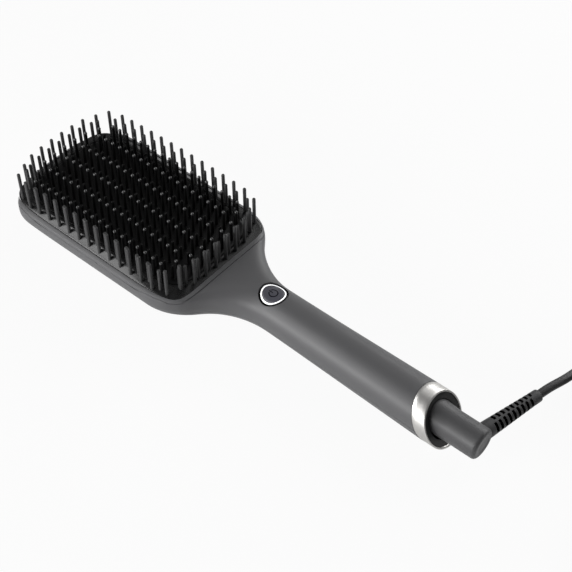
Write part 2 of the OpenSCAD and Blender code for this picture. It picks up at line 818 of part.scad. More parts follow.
module button_well() {
    color([0.03, 0.03, 0.03])
    difference() {
        intersection() {
            translate([button_x, 0, well_floor_z])
                cylinder(r = well_r, h = handle_top_z);
            under_handle_top(-well_drop);
        }
        translate([button_x, 0, well_floor_z + well_floor_t])
            cylinder(r = ring_d / 2, h = handle_top_z);
        translate([button_x, 0, well_floor_z - 1])
            cylinder(r = stem_r + button_gap, h = handle_top_z);
        for (a = [45 : 90 : 315])
            translate([button_x + ring_place() * cos(a), ring_place() * sin(a), well_floor_z - 1])
                cylinder(d = ring_wall / 2, h = handle_top_z);
    }
}

module light_ring() {
    color([0.95, 0.95, 1])
    difference() {
        intersection() {
            translate([button_x, 0, well_floor_z + well_floor_t])
                cylinder(d = ring_d - 0.02, h = handle_top_z);
            under_handle_top(-ring_sink);
        }
        translate([button_x, 0, well_floor_z])
            cylinder(r = ring_d / 2 - ring_wall, h = handle_top_z);
    }
}

module button_cap() {
    color([0.27, 0.27, 0.3])
    union() {
        intersection() {
            translate([button_x, 0, cap_z])
                cylinder(r = cap_r, h = handle_top_z);
            under_handle_top(-cap_sink);
        }
        translate([button_x, 0, stem_z])
            cylinder(r = stem_r, h = cap_z - stem_z + 1);
    }
}

// The switch's own plunger, pushed by the cap's stem
module switch_plunger() {
    color([0.8, 0.8, 0.75])
    translate([button_x, 0, stem_z - 1 - plunger_h + button_travel + 0.2])
        cylinder(r = plunger_r, h = plunger_h + 1 - button_travel - 0.2);
}

// ---------------------------------------------------------------- lead end

module along_x(x, r, h, r2 = undef) {
    translate([x, 0, swivel_z])
        rotate([0, 90, 0])
            cylinder(r1 = r, r2 = is_undef(r2) ? r : r2, h = h);
}

module end_band() {
    color([0.82, 0.82, 0.8])
    difference() {
        intersection() {
            along_x(band_x - end_r, end_r, band_w + 2 * end_r);
            before_slant(band_end_x);
        }
        before_slant(band_x + 0.02);
        along_x(band_x - 2 * end_r, end_r - band_wall, band_w + 4 * end_r);
    }
}

module end_socket() {
    color([0.04, 0.04, 0.04])
    difference() {
        union() {
            along_x(holder_x - 1, socket_r, bulkhead_x - holder_x + 2);
            intersection() {
                along_x(bulkhead_x, socket_r, band_w + 2 * end_r);
                before_slant(band_end_x - 0.6);
            }
            difference() {
                intersection() {
                    along_x(band_x - end_r, end_r - band_wall - 0.02, band_w + 2 * end_r);
                    before_slant(band_end_x - 0.6);
                }
                before_slant(band_x + 0.04);
            }
        }
        along_x(bulkhead_x - 1, journal_r + journal_play, bulkhead_t + 2);
        along_x(bulkhead_x + bulkhead_t, foot_r + swivel_gap, band_w + 30);
        along_x(holder_x - 2, socket_r - 1, bulkhead_x - holder_x + 2);
    }
}

module contact_holder() {
    color([0.75, 0.72, 0.62])
    difference() {
        along_x(holder_x, socket_r - 1.03, holder_l);
        along_x(holder_x - 1, holder_bore_r, holder_l + 2);
        for (x = ring_xs)
            translate([x + ring_t / 2 - leaf_w / 2 - 0.05, -1.55, swivel_z])
                cube([leaf_w + 0.1, 3.1, socket_r - 3]);
    }
}

module contact_leaves() {
    color([0.8, 0.62, 0.25])
    for (x = ring_xs)
        translate([x + ring_t / 2 - leaf_w / 2, -1.5, swivel_z + slip_ring_r + swivel_gap])
            cube([leaf_w, 3, socket_r - slip_ring_r - swivel_gap - 3.05]);
}

// The swivel barrel's outline: tail, journal, foot that flares in to the barrel, rounded end
function barrel_outline() = concat(
    [[0, tail_x], [tail_r, tail_x], [tail_r, journal_x], [journal_r, journal_x], [journal_r, foot_x],
        [foot_r, foot_x]],
    [for (i = [0 : 7]) let (x = mix(flare[0], flare[1], i / 7)) [mix(barrel_r, foot_r, ease(x, flare)), x]],
    [for (i = [0 : 6]) let (a = 90 * i / 6)
        [barrel_r - barrel_round * (1 - cos(a)), barrel_x - barrel_round * (1 - sin(a))]],
    [[0, barrel_x]]);

module swivel_barrel() {
    color([0.29, 0.29, 0.3])
    difference() {
        translate([0, 0, swivel_z])
            rotate([0, 90, 0])
                rotate_extrude($fn = 72)
                    polygon(barrel_outline());
        along_x(tail_x - 1, lead_bore_r, relief_x + lead_bore_r + 1 - tail_x);
        along_x(clip_x - 0.05, journal_r + 1, clip_t + 0.1);
        along_relief(0, core_r + 0.3, relief_in + 1);
        along_relief(relief_in, relief_d0 / 2 + 0.05, relief_in + barrel_r);
    }
    color([0.29, 0.29, 0.3])
    difference() {
        along_x(clip_x - 0.1, journal_r - 0.8, clip_t + 0.2);
        along_x(clip_x - 1, lead_bore_r, clip_t + 2);
    }
}

// A straight piece along the strain relief's own axis
module along_relief(start, r, h, r2 = undef) {
    translate([relief_x, 0, swivel_z])
        rotate([0, 0, -relief_angle])
            rotate([-90, 0, 0])
                translate([0, 0, start])
                    cylinder(r1 = r, r2 = is_undef(r2) ? r : r2, h = h);
}

module retaining_clip() {
    color([0.6, 0.6, 0.62])
    difference() {
        along_x(clip_x, journal_r + 2, clip_t);
        along_x(clip_x - 1, journal_r - 0.77, clip_t + 2);
        translate([clip_x - 1, -1.5, swivel_z - journal_r - 4])
            cube([clip_t + 2, 3, 6]);
    }
}

module slip_rings() {
    color([0.85, 0.68, 0.3])
    for (x = ring_xs)
        difference() {
            along_x(x, slip_ring_r, ring_t);
            along_x(x - 1, tail_r + 0.02, ring_t + 2);
        }
}

module lead_core() {
    color([0.12, 0.12, 0.12])
    union() {
        along_x(tail_x + 1, core_r, relief_x - tail_x - 1 + core_r);
        along_relief(0, core_r - 0.05, relief_in);
    }
}

relief_ridge = 0.55;

module strain_relief() {
    slot_pitch = (relief_l - 8) / relief_slots;
    color([0.1, 0.1, 0.1])
    difference() {
        union() {
            along_relief(relief_in, relief_d0 / 2, barrel_r + 1 - relief_in);
            along_relief(barrel_r + 1 - eps, relief_d0 / 2, relief_out - barrel_r - 5 + 2 * eps, relief_d1 / 2);
            along_relief(relief_out - 4, relief_d1 / 2, 4);
        }
        for (i = [0 : relief_slots - 1], s = [-1, 1]) {
            relief_slot(barrel_r + 3.5 + i * slot_pitch, s, slot_turn);
            relief_slot(barrel_r + 3.5 + (i + 0.5) * slot_pitch, s, slot_turn - 90);
        }
    }
}

// One slot, cut in from a side of the strain relief down to its core
module relief_slot(at, side, turn) {
    slot_l = 1.5;
    translate([relief_x, 0, swivel_z])
        rotate([0, 0, -relief_angle])
            rotate([0, turn, 0])
                translate([-relief_d0, at, side > 0 ? core_r + relief_ridge : -relief_d0])
                    cube([2 * relief_d0, slot_l, relief_d0 - core_r - relief_ridge]);
}

// ---------------------------------------------------------------- lead

// Smooth curve through hand-chosen points, keeping the directions of both ends
function curve_point(p, i, t) =
    let (a = p[max(i - 1, 0)], b = p[i], c = p[i + 1], d = p[min(i + 2, len(p) - 1)])
    0.5 * (2 * b + (c - a) * t + (2 * a - 5 * b + 4 * c - d) * t ^ 2 + (3 * b - a - 3 * c + d) * t ^ 3);
function curve(p) = concat([for (i = [0 : len(p) - 2], t = [0 : run_step : 1 - run_step / 2]) curve_point(p, i, t)],
    [p[len(p) - 1]]);
function path_length(p, i = 0) = i >= len(p) - 1 ? 0 : norm(p[i + 1] - p[i]) + path_length(p, i + 1);

// The end rings stand square to what the stretch meets
module run(points, first_dir, last_dir) {
    n = len(points);
    loft([for (i = [0 : n - 1])
        frame_ring(points[i], i == 0 ? first_dir : i == n - 1 ? last_dir : tangent(points, i),
            cord_d / 2, run_sides, 90)]);
}

run_path = curve(concat([relief_tip, relief_tip + 8 * relief_dir], run_points, [coil_start]));
tail_path = curve(concat([coil_end], tail_points, [[plug_x, plug_neck_y, plug_z]]));

module cord_run() {
    color([0.11, 0.11, 0.11])
    run(run_path, relief_dir, [0, 1, 0]);
}

module cord_tail() {
    color([0.11, 0.11, 0.11])
    run(tail_path, [0, -1, 0], [0, -1, 0]);
}

// The coil winds clockwise from its left side. Its radius swings in and out at a steady
// rate, and it climbs a layer in the half turn round each place where that swing reverses.
layer_turns = coil_turns / coil_layers;
function swing(t) = let (u = t / layer_turns, k = floor(u), f = u - k) k % 2 == 0 ? 1 - 2 * f : 2 * f - 1;
function climbed(t) = sum([for (k = [1 : coil_layers - 1])
    let (s = (t - k * layer_turns) / 0.5 + 0.5) s <= 0 ? 0 : s >= 1 ? 1 : 0.5 - 0.5 * cos(180 * s)]);
function coil_point(t) = let (r = coil_mid_r + coil_swing * swing(t), a = 180 - 360 * t)
    [coil_centre[0] + r * cos(a), coil_centre[1] + r * sin(a), coil_z + coil_pitch * climbed(t)];
coil_path = concat([coil_start],
    [for (i = [0 : coil_turns * coil_rings]) coil_point(i / coil_rings)],
    [coil_end]);

// Least distance between turns, less the lead's own diameter
coil_turn_points = [for (i = [0 : coil_turns * coil_rings]) coil_point(i / coil_rings)];
coil_gap = min([for (i = [0 : len(coil_turn_points) - 1], j = [i + coil_rings / 2 : 1 : len(coil_turn_points) - 1])
    norm(coil_turn_points[i] - coil_turn_points[j])]) - cord_d;
echo(coil_gap = coil_gap, coil_length = path_length(coil_path));
echo(lead_length = path_length(coil_path) + path_length(run_path) + path_length(tail_path));
echo(total_length = total_l, head_end = head_x, shoulder = shoulder_x, neck = neck_x, band = band_x);
echo(bristles = len(edge_places) + len(second_places) + len(long_places) + len(short_places) + len(arc_places));

module cord_coil() {
    color([0.11, 0.11, 0.11])
    run_coil(coil_path);
}

module run_coil(points) {
    n = len(points);
    loft([for (i = [0 : n - 1])
        frame_ring(points[i], i <= 1 ? [0, 1, 0] : i >= n - 2 ? [0, -1, 0] : tangent(points, i),
            cord_d / 2, coil_sides, 90)]);
}

module cord_tie() {
    play = 0.6;
    low = coil_inner_r - cord_d / 2 - play;
    high = coil_outer_r + cord_d / 2 + play;
    top = coil_top_z + cord_d / 2 + 0.3;
    color([0.06, 0.06, 0.06])
    difference() {
        translate([coil_centre[0] - tie_w / 2, coil_centre[1] - high - tie_t, 0])
            cube([tie_w, high - low + 2 * tie_t, top + tie_t]);
        translate([coil_centre[0] - tie_w, coil_centre[1] - high, tie_t])
            cube([2 * tie_w, high - low, top - tie_t]);
    }
}

// ---------------------------------------------------------------- plug

module plug_outline(w0, w1, h0, h1, y0, y1) {
    hull() {
        translate([plug_x - w0 / 2, y0 - eps, plug_z - h0 / 2])
            cube([w0, eps, h0]);
        translate([plug_x - w1 / 2, y1, plug_z - h1 / 2])
            cube([w1, eps, h1]);
    }
}

module plug_body() {
    waist_y = mix(plug_face_y, plug_root_y, 0.45);
    color([0.1, 0.1, 0.1])
    difference() {
        union() {
            plug_outline(plug_w, plug_w, plug_h, plug_h, waist_y, plug_face_y);
            plug_outline(plug_h, plug_w, plug_h - 1, plug_h, plug_root_y, waist_y);
            translate([plug_x, plug_root_y - 1, plug_z])
                rotate([-90, 0, 0])
                    cylinder(d1 = plug_h - 4, d2 = cord_d + 2, h = plug_neck_l + 1);
        }
        for (s = [-1, 1])
            translate([plug_x + s * pin_spacing / 2, plug_face_y - 1, plug_z])
                rotate([-90, 0, 0])
                    cylinder(d = pin_d + 0.04, h = plug_pin_depth + 1);
    }
}

module plug_pins() {
    color([0.8, 0.8, 0.78])
    for (s = [-1, 1])
        translate([plug_x + s * pin_spacing / 2, plug_face_y - pin_l, plug_z])
            rotate([-90, 0, 0])
                cylinder(d = pin_d, h = pin_l + plug_pin_depth);
}

rear_shell();
front_shell();
front_bezel();
edge_bristles();
field_bristles();
heat_spreader();
heater_left();
heater_right();
insulation_board();
temperature_sensor();
thermal_fuse();
plate_screws();
heater_leads();
sensor_leads();
main_board();
board_screws();
film_capacitor();
power_switch();
control_chip();
tact_switch();
status_leds();
button_well();
light_ring();
button_cap();
switch_plunger();
end_band();
end_socket();
contact_holder();
contact_leaves();
supply_leads();
swivel_barrel();
retaining_clip();
slip_rings();
lead_core();
strain_relief();
cord_run();
cord_coil();
cord_tail();
cord_tie();
plug_body();
plug_pins();
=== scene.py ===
"""Looks of a heated straightening paddle brush with a swivel lead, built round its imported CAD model.

Shapes are worked out in millimetres in the row frame and turned into metres when a piece is finished.
"""

from __future__ import annotations

import logging
import math
import sys
from dataclasses import dataclass
from enum import Enum
from functools import cached_property
from typing import Callable, Iterable, Sequence

import bmesh
import bpy
import numpy as np
from mathutils import Matrix, Vector

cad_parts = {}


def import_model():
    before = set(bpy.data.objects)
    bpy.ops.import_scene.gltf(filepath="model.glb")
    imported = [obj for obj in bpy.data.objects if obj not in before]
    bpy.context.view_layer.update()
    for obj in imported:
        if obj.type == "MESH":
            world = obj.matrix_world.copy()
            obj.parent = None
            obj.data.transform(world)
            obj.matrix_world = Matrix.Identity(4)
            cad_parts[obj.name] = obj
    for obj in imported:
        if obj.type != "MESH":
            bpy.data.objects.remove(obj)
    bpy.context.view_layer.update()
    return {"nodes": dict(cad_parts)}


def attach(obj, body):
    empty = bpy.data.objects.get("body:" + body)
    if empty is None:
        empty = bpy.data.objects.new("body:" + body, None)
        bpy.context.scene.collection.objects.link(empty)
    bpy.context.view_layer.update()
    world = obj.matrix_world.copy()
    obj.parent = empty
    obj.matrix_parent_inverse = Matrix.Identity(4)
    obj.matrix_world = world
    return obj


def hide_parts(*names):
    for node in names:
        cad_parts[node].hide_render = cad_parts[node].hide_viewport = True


LOG = logging.getLogger("brush")
MM = 0.001
Points = np.ndarray
Materials = dict[str, bpy.types.Material]
Colour = tuple[float, float, float]
Steps = tuple[tuple[float, ...], ...]


class Carrier(Enum):
    """The CAD bodies that pieces ride on."""

    BODY = "body"
    BUTTON = "button"
    SWIVEL = "swivel"


class Join(Enum):
    """Ways to combine two closed forms."""

    ADD = "UNION"
    CUT = "DIFFERENCE"
    KEEP = "INTERSECT"


class Section(Enum):
    """Halves of the housing's section."""

    FRONT = 1
    BACK = -1


# ---------------------------------------------------------------- small helpers


def mix(a: float, b: float, t: float) -> float:
    """Value between a and b at t."""
    return a + (b - a) * t


def ease(x: float, start: float, end: float) -> float:
    """Cosine fall from 1 before start to 0 after end.

    Args:
        x: Place along the span.
        start: Where the fall starts.
        end: Where it ends.

    Returns:
        The share left, from 1 to 0.
    """
    if x <= start:
        return 1.0
    if x >= end:
        return 0.0
    return 0.5 + 0.5 * math.cos(math.pi * (x - start) / (end - start))


def signed_power(v: Points, p: Points | float) -> Points:
    """Power of the size of v with its sign kept."""
    return np.sign(v) * np.abs(v) ** p


def even_steps(line: Points, count: int) -> Points:
    """Points at even distances along an open line.

    Args:
        line: The line's points, one row each.
        count: How many points to return, both ends among them.

    Returns:
        The new points, one row each.
    """
    run = np.r_[0.0, np.cumsum(np.linalg.norm(np.diff(line, axis=0), axis=1))]
    at = np.linspace(0.0, run[-1], count)
    return np.stack([np.interp(at, run, line[:, k]) for k in range(line.shape[1])], axis=1)


def smooth_curve(points: Sequence[Sequence[float]], steps: int) -> Points:
    """Smooth line through given points.

    Args:
        points: The points that the line passes.
        steps: Pieces between two points.

    Returns:
        The line's points, one row each.
    """
    p = np.array(points, float)
    p = np.vstack([2 * p[0] - p[1], p, 2 * p[-1] - p[-2]])
    out = []
    for i in range(1, len(p) - 2):
        a, b, c, d = p[i - 1], p[i], p[i + 1], p[i + 2]
        for t in np.linspace(0, 1, steps, endpoint=False):
            out.append(
                0.5 * (2 * b + (c - a) * t + (2 * a - 5 * b + 4 * c - d) * t**2 + (3 * b - a - 3 * c + d) * t**3)
            )
    return np.vstack([out, p[-2]])


def ring_about(centre: Points, along: Points, radius: float, sides: int) -> Points:
    """Circle of points square to a direction.

    Args:
        centre: The circle's centre.
        along: The direction that it is square to.
        radius: Its radius.
        sides: How many points it has.

    Returns:
        The points, one row each.
    """
    t = along / np.linalg.norm(along)
    side = np.cross(t, [0.0, 0.0, 1.0])
    side /= np.linalg.norm(side)
    up = np.cross(side, t)
    a = np.linspace(0, 2 * math.pi, sides, endpoint=False)[:, None]
    return centre + radius * (np.cos(a) * side + np.sin(a) * up)


def tube_rows(line: Points, radius: float, sides: int, first: Points, last: Points) -> Points:
    """Rings of a round tube along a line.

    Args:
        line: The tube's middle line.
        radius: Its radius.
        sides: Points round it.
        first: Direction of the first ring.
        last: Direction of the last ring.

    Returns:
        Rings as rows of points.
    """
    way = np.gradient(line, axis=0)
    way[0], way[-1] = first, last
    return np.stack([ring_about(c, w, radius, sides) for c, w in zip(line, way)])


def closed_rows(rows: Points) -> Points:
    """Rings with a pole added at each end, so that they close."""
    ends = [np.repeat(r.mean(axis=0)[None], rows.shape[1], axis=0) for r in (rows[0], rows[-1])]
    return np.concatenate([ends[0][None], rows, ends[1][None]])


def skin(rows: Points) -> bmesh.types.BMesh:
    """A surface through closed rings of points, from a grid whose points are moved into place.

    Args:
        rows: Points as rings, points, coordinates.

    Returns:
        A mesh with its doubles merged and its faces pointing outwards.
    """
    count, across = rows.shape[:2]
    bm = bmesh.new()
    bmesh.ops.create_grid(bm, x_segments=across, y_segments=count - 1, size=1.0)
    for v in bm.verts:
        i = round((v.co.x + 1) / 2 * across)
        j = round((v.co.y + 1) / 2 * (count - 1))
        v.co = Vector(rows[j, i % across])
    bmesh.ops.remove_doubles(bm, verts=bm.verts, dist=1e-4)
    bmesh.ops.dissolve_degenerate(bm, edges=bm.edges, dist=1e-5)
    bmesh.ops.recalc_face_normals(bm, faces=bm.faces)
    return bm


def as_object(name: str, bm: bmesh.types.BMesh) -> bpy.types.Object:
    """An object made of a bmesh, which is freed."""
    mesh = bpy.data.meshes.new(name)
    bm.to_mesh(mesh)
    bm.free()
    obj = bpy.data.objects.new(name, mesh)
    bpy.context.scene.collection.objects.link(obj)
    return obj


def solid(name: str, rows: Points) -> bpy.types.Object:
    """A closed object through rings of points."""
    return as_object(name, skin(closed_rows(rows)))


def merged(forms: Iterable[bmesh.types.BMesh]) -> bmesh.types.BMesh:
    """One bmesh that holds several, which are freed."""
    bm = bmesh.new()
    for form in forms:
        mesh = bpy.data.meshes.new("form")
        form.to_mesh(mesh)
        form.free()
        bm.from_mesh(mesh)
        bpy.data.meshes.remove(mesh)
    return bm


def bake(obj: bpy.types.Object) -> None:
    """Applies an object's modifiers to its mesh."""
    shown = obj.evaluated_get(bpy.context.evaluated_depsgraph_get())
    mesh = bpy.data.meshes.new_from_object(shown)
    old = obj.data
    obj.modifiers.clear()
    obj.data = mesh
    bpy.data.meshes.remove(old)


def combine(obj: bpy.types.Object, other: bpy.types.Object, how: Join, keep: bool = False) -> bpy.types.Object:
    """Joins, cuts or trims a closed form with another.

    Args:
        obj: The form that changes.
        other: The form that it is combined with.
        how: Which way.
        keep: Whether the other form stays for later use.

    Returns:
        The changed form.
    """
    tool = obj.modifiers.new("combine", "BOOLEAN")
    tool.operation = how.value
    tool.solver = "MANIFOLD"
    tool.object = other
    bake(obj)
    if not keep:
        discard(other)
    return obj


def copy_of(obj: bpy.types.Object, name: str) -> bpy.types.Object:
    """A copy of a form with a mesh of its own."""
    new = obj.copy()
    new.data = obj.data.copy()
    new.name = name
    bpy.context.scene.collection.objects.link(new)
    return new


def discard(*forms: bpy.types.Object) -> None:
    """Removes helper forms and their meshes."""
    for form in forms:
        mesh = form.data
        bpy.data.objects.remove(form)
        bpy.data.meshes.remove(mesh)


def block(name: str, low: Sequence[float], high: Sequence[float]) -> bpy.types.Object:
    """A box between two corners."""
    bm = bmesh.new()
    bmesh.ops.create_cube(bm, size=1.0)
    size = Vector(high) - Vector(low)
    bmesh.ops.scale(bm, vec=size, verts=bm.verts)
    bmesh.ops.translate(bm, vec=(Vector(low) + Vector(high)) / 2, verts=bm.verts)
    return as_object(name, bm)


def finish(
    obj: bpy.types.Object,
    carrier: Carrier,
    material: bpy.types.Material,
    nodes: Iterable[str] = (),
    crease: float = 32.0,
) -> bpy.types.Object:
    """Turns a piece into metres, shades it, dresses it and ties it to its body.

    Args:
        obj: The piece, in millimetres.
        carrier: The body that it rides on.
        material: Its material.
        nodes: CAD nodes that it stands for.
        crease: Edges sharper than this angle stay sharp, in degrees.

    Returns:
        The finished piece.
    """
    obj.data.transform(Matrix.Scale(MM, 4))
    obj.data.polygons.foreach_set("use_smooth", [True] * len(obj.data.polygons))
    obj.data.set_sharp_from_angle(angle=math.radians(crease))
    obj.data.materials.clear()
    obj.data.materials.append(material)
    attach(obj, carrier.value)
    if nodes:
        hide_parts(*nodes)
    LOG.info("%s: %d faces, rides on %s", obj.name, len(obj.data.polygons), carrier.value)
    return obj


# ---------------------------------------------------------------- finishes


class Sockets:
    """Adds and links shader nodes in one tree."""

    def __init__(self, tree: bpy.types.NodeTree) -> None:
        """Keeps the tree that nodes go into."""
        self.tree = tree

    def add(self, kind: str, **values: object) -> bpy.types.Node:
        """Adds a node.

        Args:
            kind: The node's type.
            values: Properties by name, and inputs by name with spaces as double underscores.

        Returns:
            The new node.
        """
        node = self.tree.nodes.new(kind)
        for name, value in values.items():
            if hasattr(node, name):
                setattr(node, name, value)
            else:
                node.inputs[name.replace("__", " ")].default_value = value
        return node

    def link(self, start: bpy.types.NodeSocket, end: bpy.types.NodeSocket) -> None:
        """Links an output to an input."""
        self.tree.links.new(start, end)

    def worked(self, kind: str, operation: str, values: Sequence[object]) -> bpy.types.Node:
        """A node with an operation on values or sockets."""
        node = self.tree.nodes.new(kind)
        node.operation = operation
        for socket, value in zip(node.inputs, values):
            if isinstance(value, bpy.types.NodeSocket):
                self.link(value, socket)
            else:
                socket.default_value = value
        return node

    def math(self, operation: str, a: object, b: object = 0.0) -> bpy.types.NodeSocket:
        """A Math node on two values or sockets."""
        return self.worked("ShaderNodeMath", operation, (a, b)).outputs[0]

    def vector(self, operation: str, *values: object) -> bpy.types.NodeOutputs:
        """The outputs of a Vector Math node on values or sockets."""
        return self.worked("ShaderNodeVectorMath", operation, values).outputs

    def place(self) -> bpy.types.NodeSocket:
        """The Object coordinates."""
        return self.add("ShaderNodeTexCoord").outputs["Object"]


def darkened(material: bpy.types.Material, mask: bpy.types.NodeSocket, dark: Colour) -> bpy.types.Material:
    """Darkens a finish and takes its gloss away where a mask is 1.

    Args:
        material: The finish.
        mask: The mask, from 0 to 1, in the finish's own tree.
        dark: The colour under the mask.

    Returns:
        The same material.
    """
    w = Sockets(material.node_tree)
    shader, grain = material.node_tree.nodes["Shader"], material.node_tree.nodes["Grain"]
    blend = w.add("ShaderNodeMix", data_type="RGBA")
    w.link(mask, blend.inputs["Factor"])
    w.link(grain.outputs["Colour"], blend.inputs["A"])
    blend.inputs["B"].default_value = (*dark, 1)
    w.link(blend.outputs["Result"], shader.inputs["Base Color"])
    w.link(w.math("MULTIPLY", 0.5, w.math("SUBTRACT", 1.0, mask)), shader.inputs["Specular IOR Level"])
    return material


def group_shell(
    name: str, inputs: Sequence[tuple[str, str, object]], outputs: Sequence[tuple[str, str]]
) -> tuple:
    """An empty node group with its sockets.

    Args:
        name: The group's name.
        inputs: Name, socket type and default of each input.
        outputs: Name and socket type of each output.

    Returns:
        The group, its Sockets, its input node and its output node.
    """
    group = bpy.data.node_groups.new(name, "ShaderNodeTree")
    for label, kind, value in inputs:
        socket = group.interface.new_socket(name=label, in_out="INPUT", socket_type=kind)
        socket.default_value = value
    for label, kind in outputs:
        group.interface.new_socket(name=label, in_out="OUTPUT", socket_type=kind)
    wires = Sockets(group)
    return group, wires, wires.add("NodeGroupInput"), wires.add("NodeGroupOutput")


def grain_group() -> bpy.types.NodeTree:
    """Mottled colour, uneven gloss and fine moulded grain, all on Object coordinates."""
    group, w, start, end = group_shell(
        "moulded_grain",
        [
            ("Colour", "NodeSocketColor", (0.5, 0.5, 0.5, 1)),
            ("Shade", "NodeSocketColor", (0.4, 0.4, 0.4, 1)),
            ("Stretch", "NodeSocketVector", (1, 1, 1)),
            ("Mottle Scale", "NodeSocketFloat", 60.0),
            ("Grain Scale", "NodeSocketFloat", 2500.0),
            ("Roughness", "NodeSocketFloat", 0.5),
            ("Spread", "NodeSocketFloat", 0.05),
            ("Depth", "NodeSocketFloat", 0.1),
        ],
        [("Colour", "NodeSocketColor"), ("Roughness", "NodeSocketFloat"), ("Normal", "NodeSocketVector")],
    )
    place = w.vector("MULTIPLY", w.place(), start.outputs["Stretch"])[0]
    mottle = w.add("ShaderNodeTexNoise", Detail=3.0, Roughness=0.6)
    w.link(place, mottle.inputs["Vector"])
    w.link(start.outputs["Mottle Scale"], mottle.inputs["Scale"])
    grain = w.add("ShaderNodeTexNoise", Detail=2.0, Roughness=0.5)
    w.link(place, grain.inputs["Vector"])
    w.link(start.outputs["Grain Scale"], grain.inputs["Scale"])
    blend = w.add("ShaderNodeMix", data_type="RGBA")
    w.link(mottle.outputs["Fac"], blend.inputs["Factor"])
    w.link(start.outputs["Colour"], blend.inputs["A"])
    w.link(start.outputs["Shade"], blend.inputs["B"])
    w.link(blend.outputs["Result"], end.inputs["Colour"])
    both = w.math("ADD", mottle.outputs["Fac"], grain.outputs["Fac"])
    swing = w.math("MULTIPLY", w.math("SUBTRACT", both, 1.0), start.outputs["Spread"])
    w.link(w.math("ADD", swing, start.outputs["Roughness"]), end.inputs["Roughness"])
    bump = w.add("ShaderNodeBump", Distance=0.0001)
    w.link(grain.outputs["Fac"], bump.inputs["Height"])
    w.link(start.outputs["Depth"], bump.inputs["Strength"])
    w.link(bump.outputs["Normal"], end.inputs["Normal"])
    return group


@dataclass(frozen=True)
class Finish:
    """A surface finish: colour, gloss and grain."""

    name: str
    colour: Colour
    shade: Colour
    roughness: float = 0.5
    spread: float = 0.08
    depth: float = 0.1
    mottle_scale: float = 60.0
    grain_scale: float = 2500.0
    stretch: tuple[float, float, float] = (1.0, 1.0, 1.0)
    metallic: float = 0.0
    specular: float = 0.5
    glow: float = 0.0

    def material(self, grain: bpy.types.NodeTree) -> bpy.types.Material:
        """Builds the material.

        Args:
            grain: The shared grain group.

        Returns:
            The material, with its shader's constants on its own sockets.
        """
        mat = bpy.data.materials.new(self.name)
        mat.use_nodes = True
        mat.node_tree.nodes.clear()
        w = Sockets(mat.node_tree)
        out = w.add("ShaderNodeOutputMaterial")
        shader = w.add("ShaderNodeBsdfPrincipled", name="Shader")
        w.link(shader.outputs[0], out.inputs["Surface"])
        group = w.add("ShaderNodeGroup", name="Grain", node_tree=grain)
        for label, value in (
            ("Colour", (*self.colour, 1)),
            ("Shade", (*self.shade, 1)),
            ("Stretch", self.stretch),
            ("Mottle Scale", self.mottle_scale),
            ("Grain Scale", self.grain_scale),
            ("Roughness", self.roughness),
            ("Spread", self.spread),
            ("Depth", self.depth),
        ):
            group.inputs[label].default_value = value
        w.link(group.outputs["Colour"], shader.inputs["Base Color"])
        w.link(group.outputs["Roughness"], shader.inputs["Roughness"])
        w.link(group.outputs["Normal"], shader.inputs["Normal"])
        shader.inputs["Metallic"].default_value = self.metallic
        shader.inputs["Specular IOR Level"].default_value = self.specular
        if self.glow:
            w.link(group.outputs["Colour"], shader.inputs["Emission Color"])
            shader.inputs["Emission Strength"].default_value = self.glow
        return mat


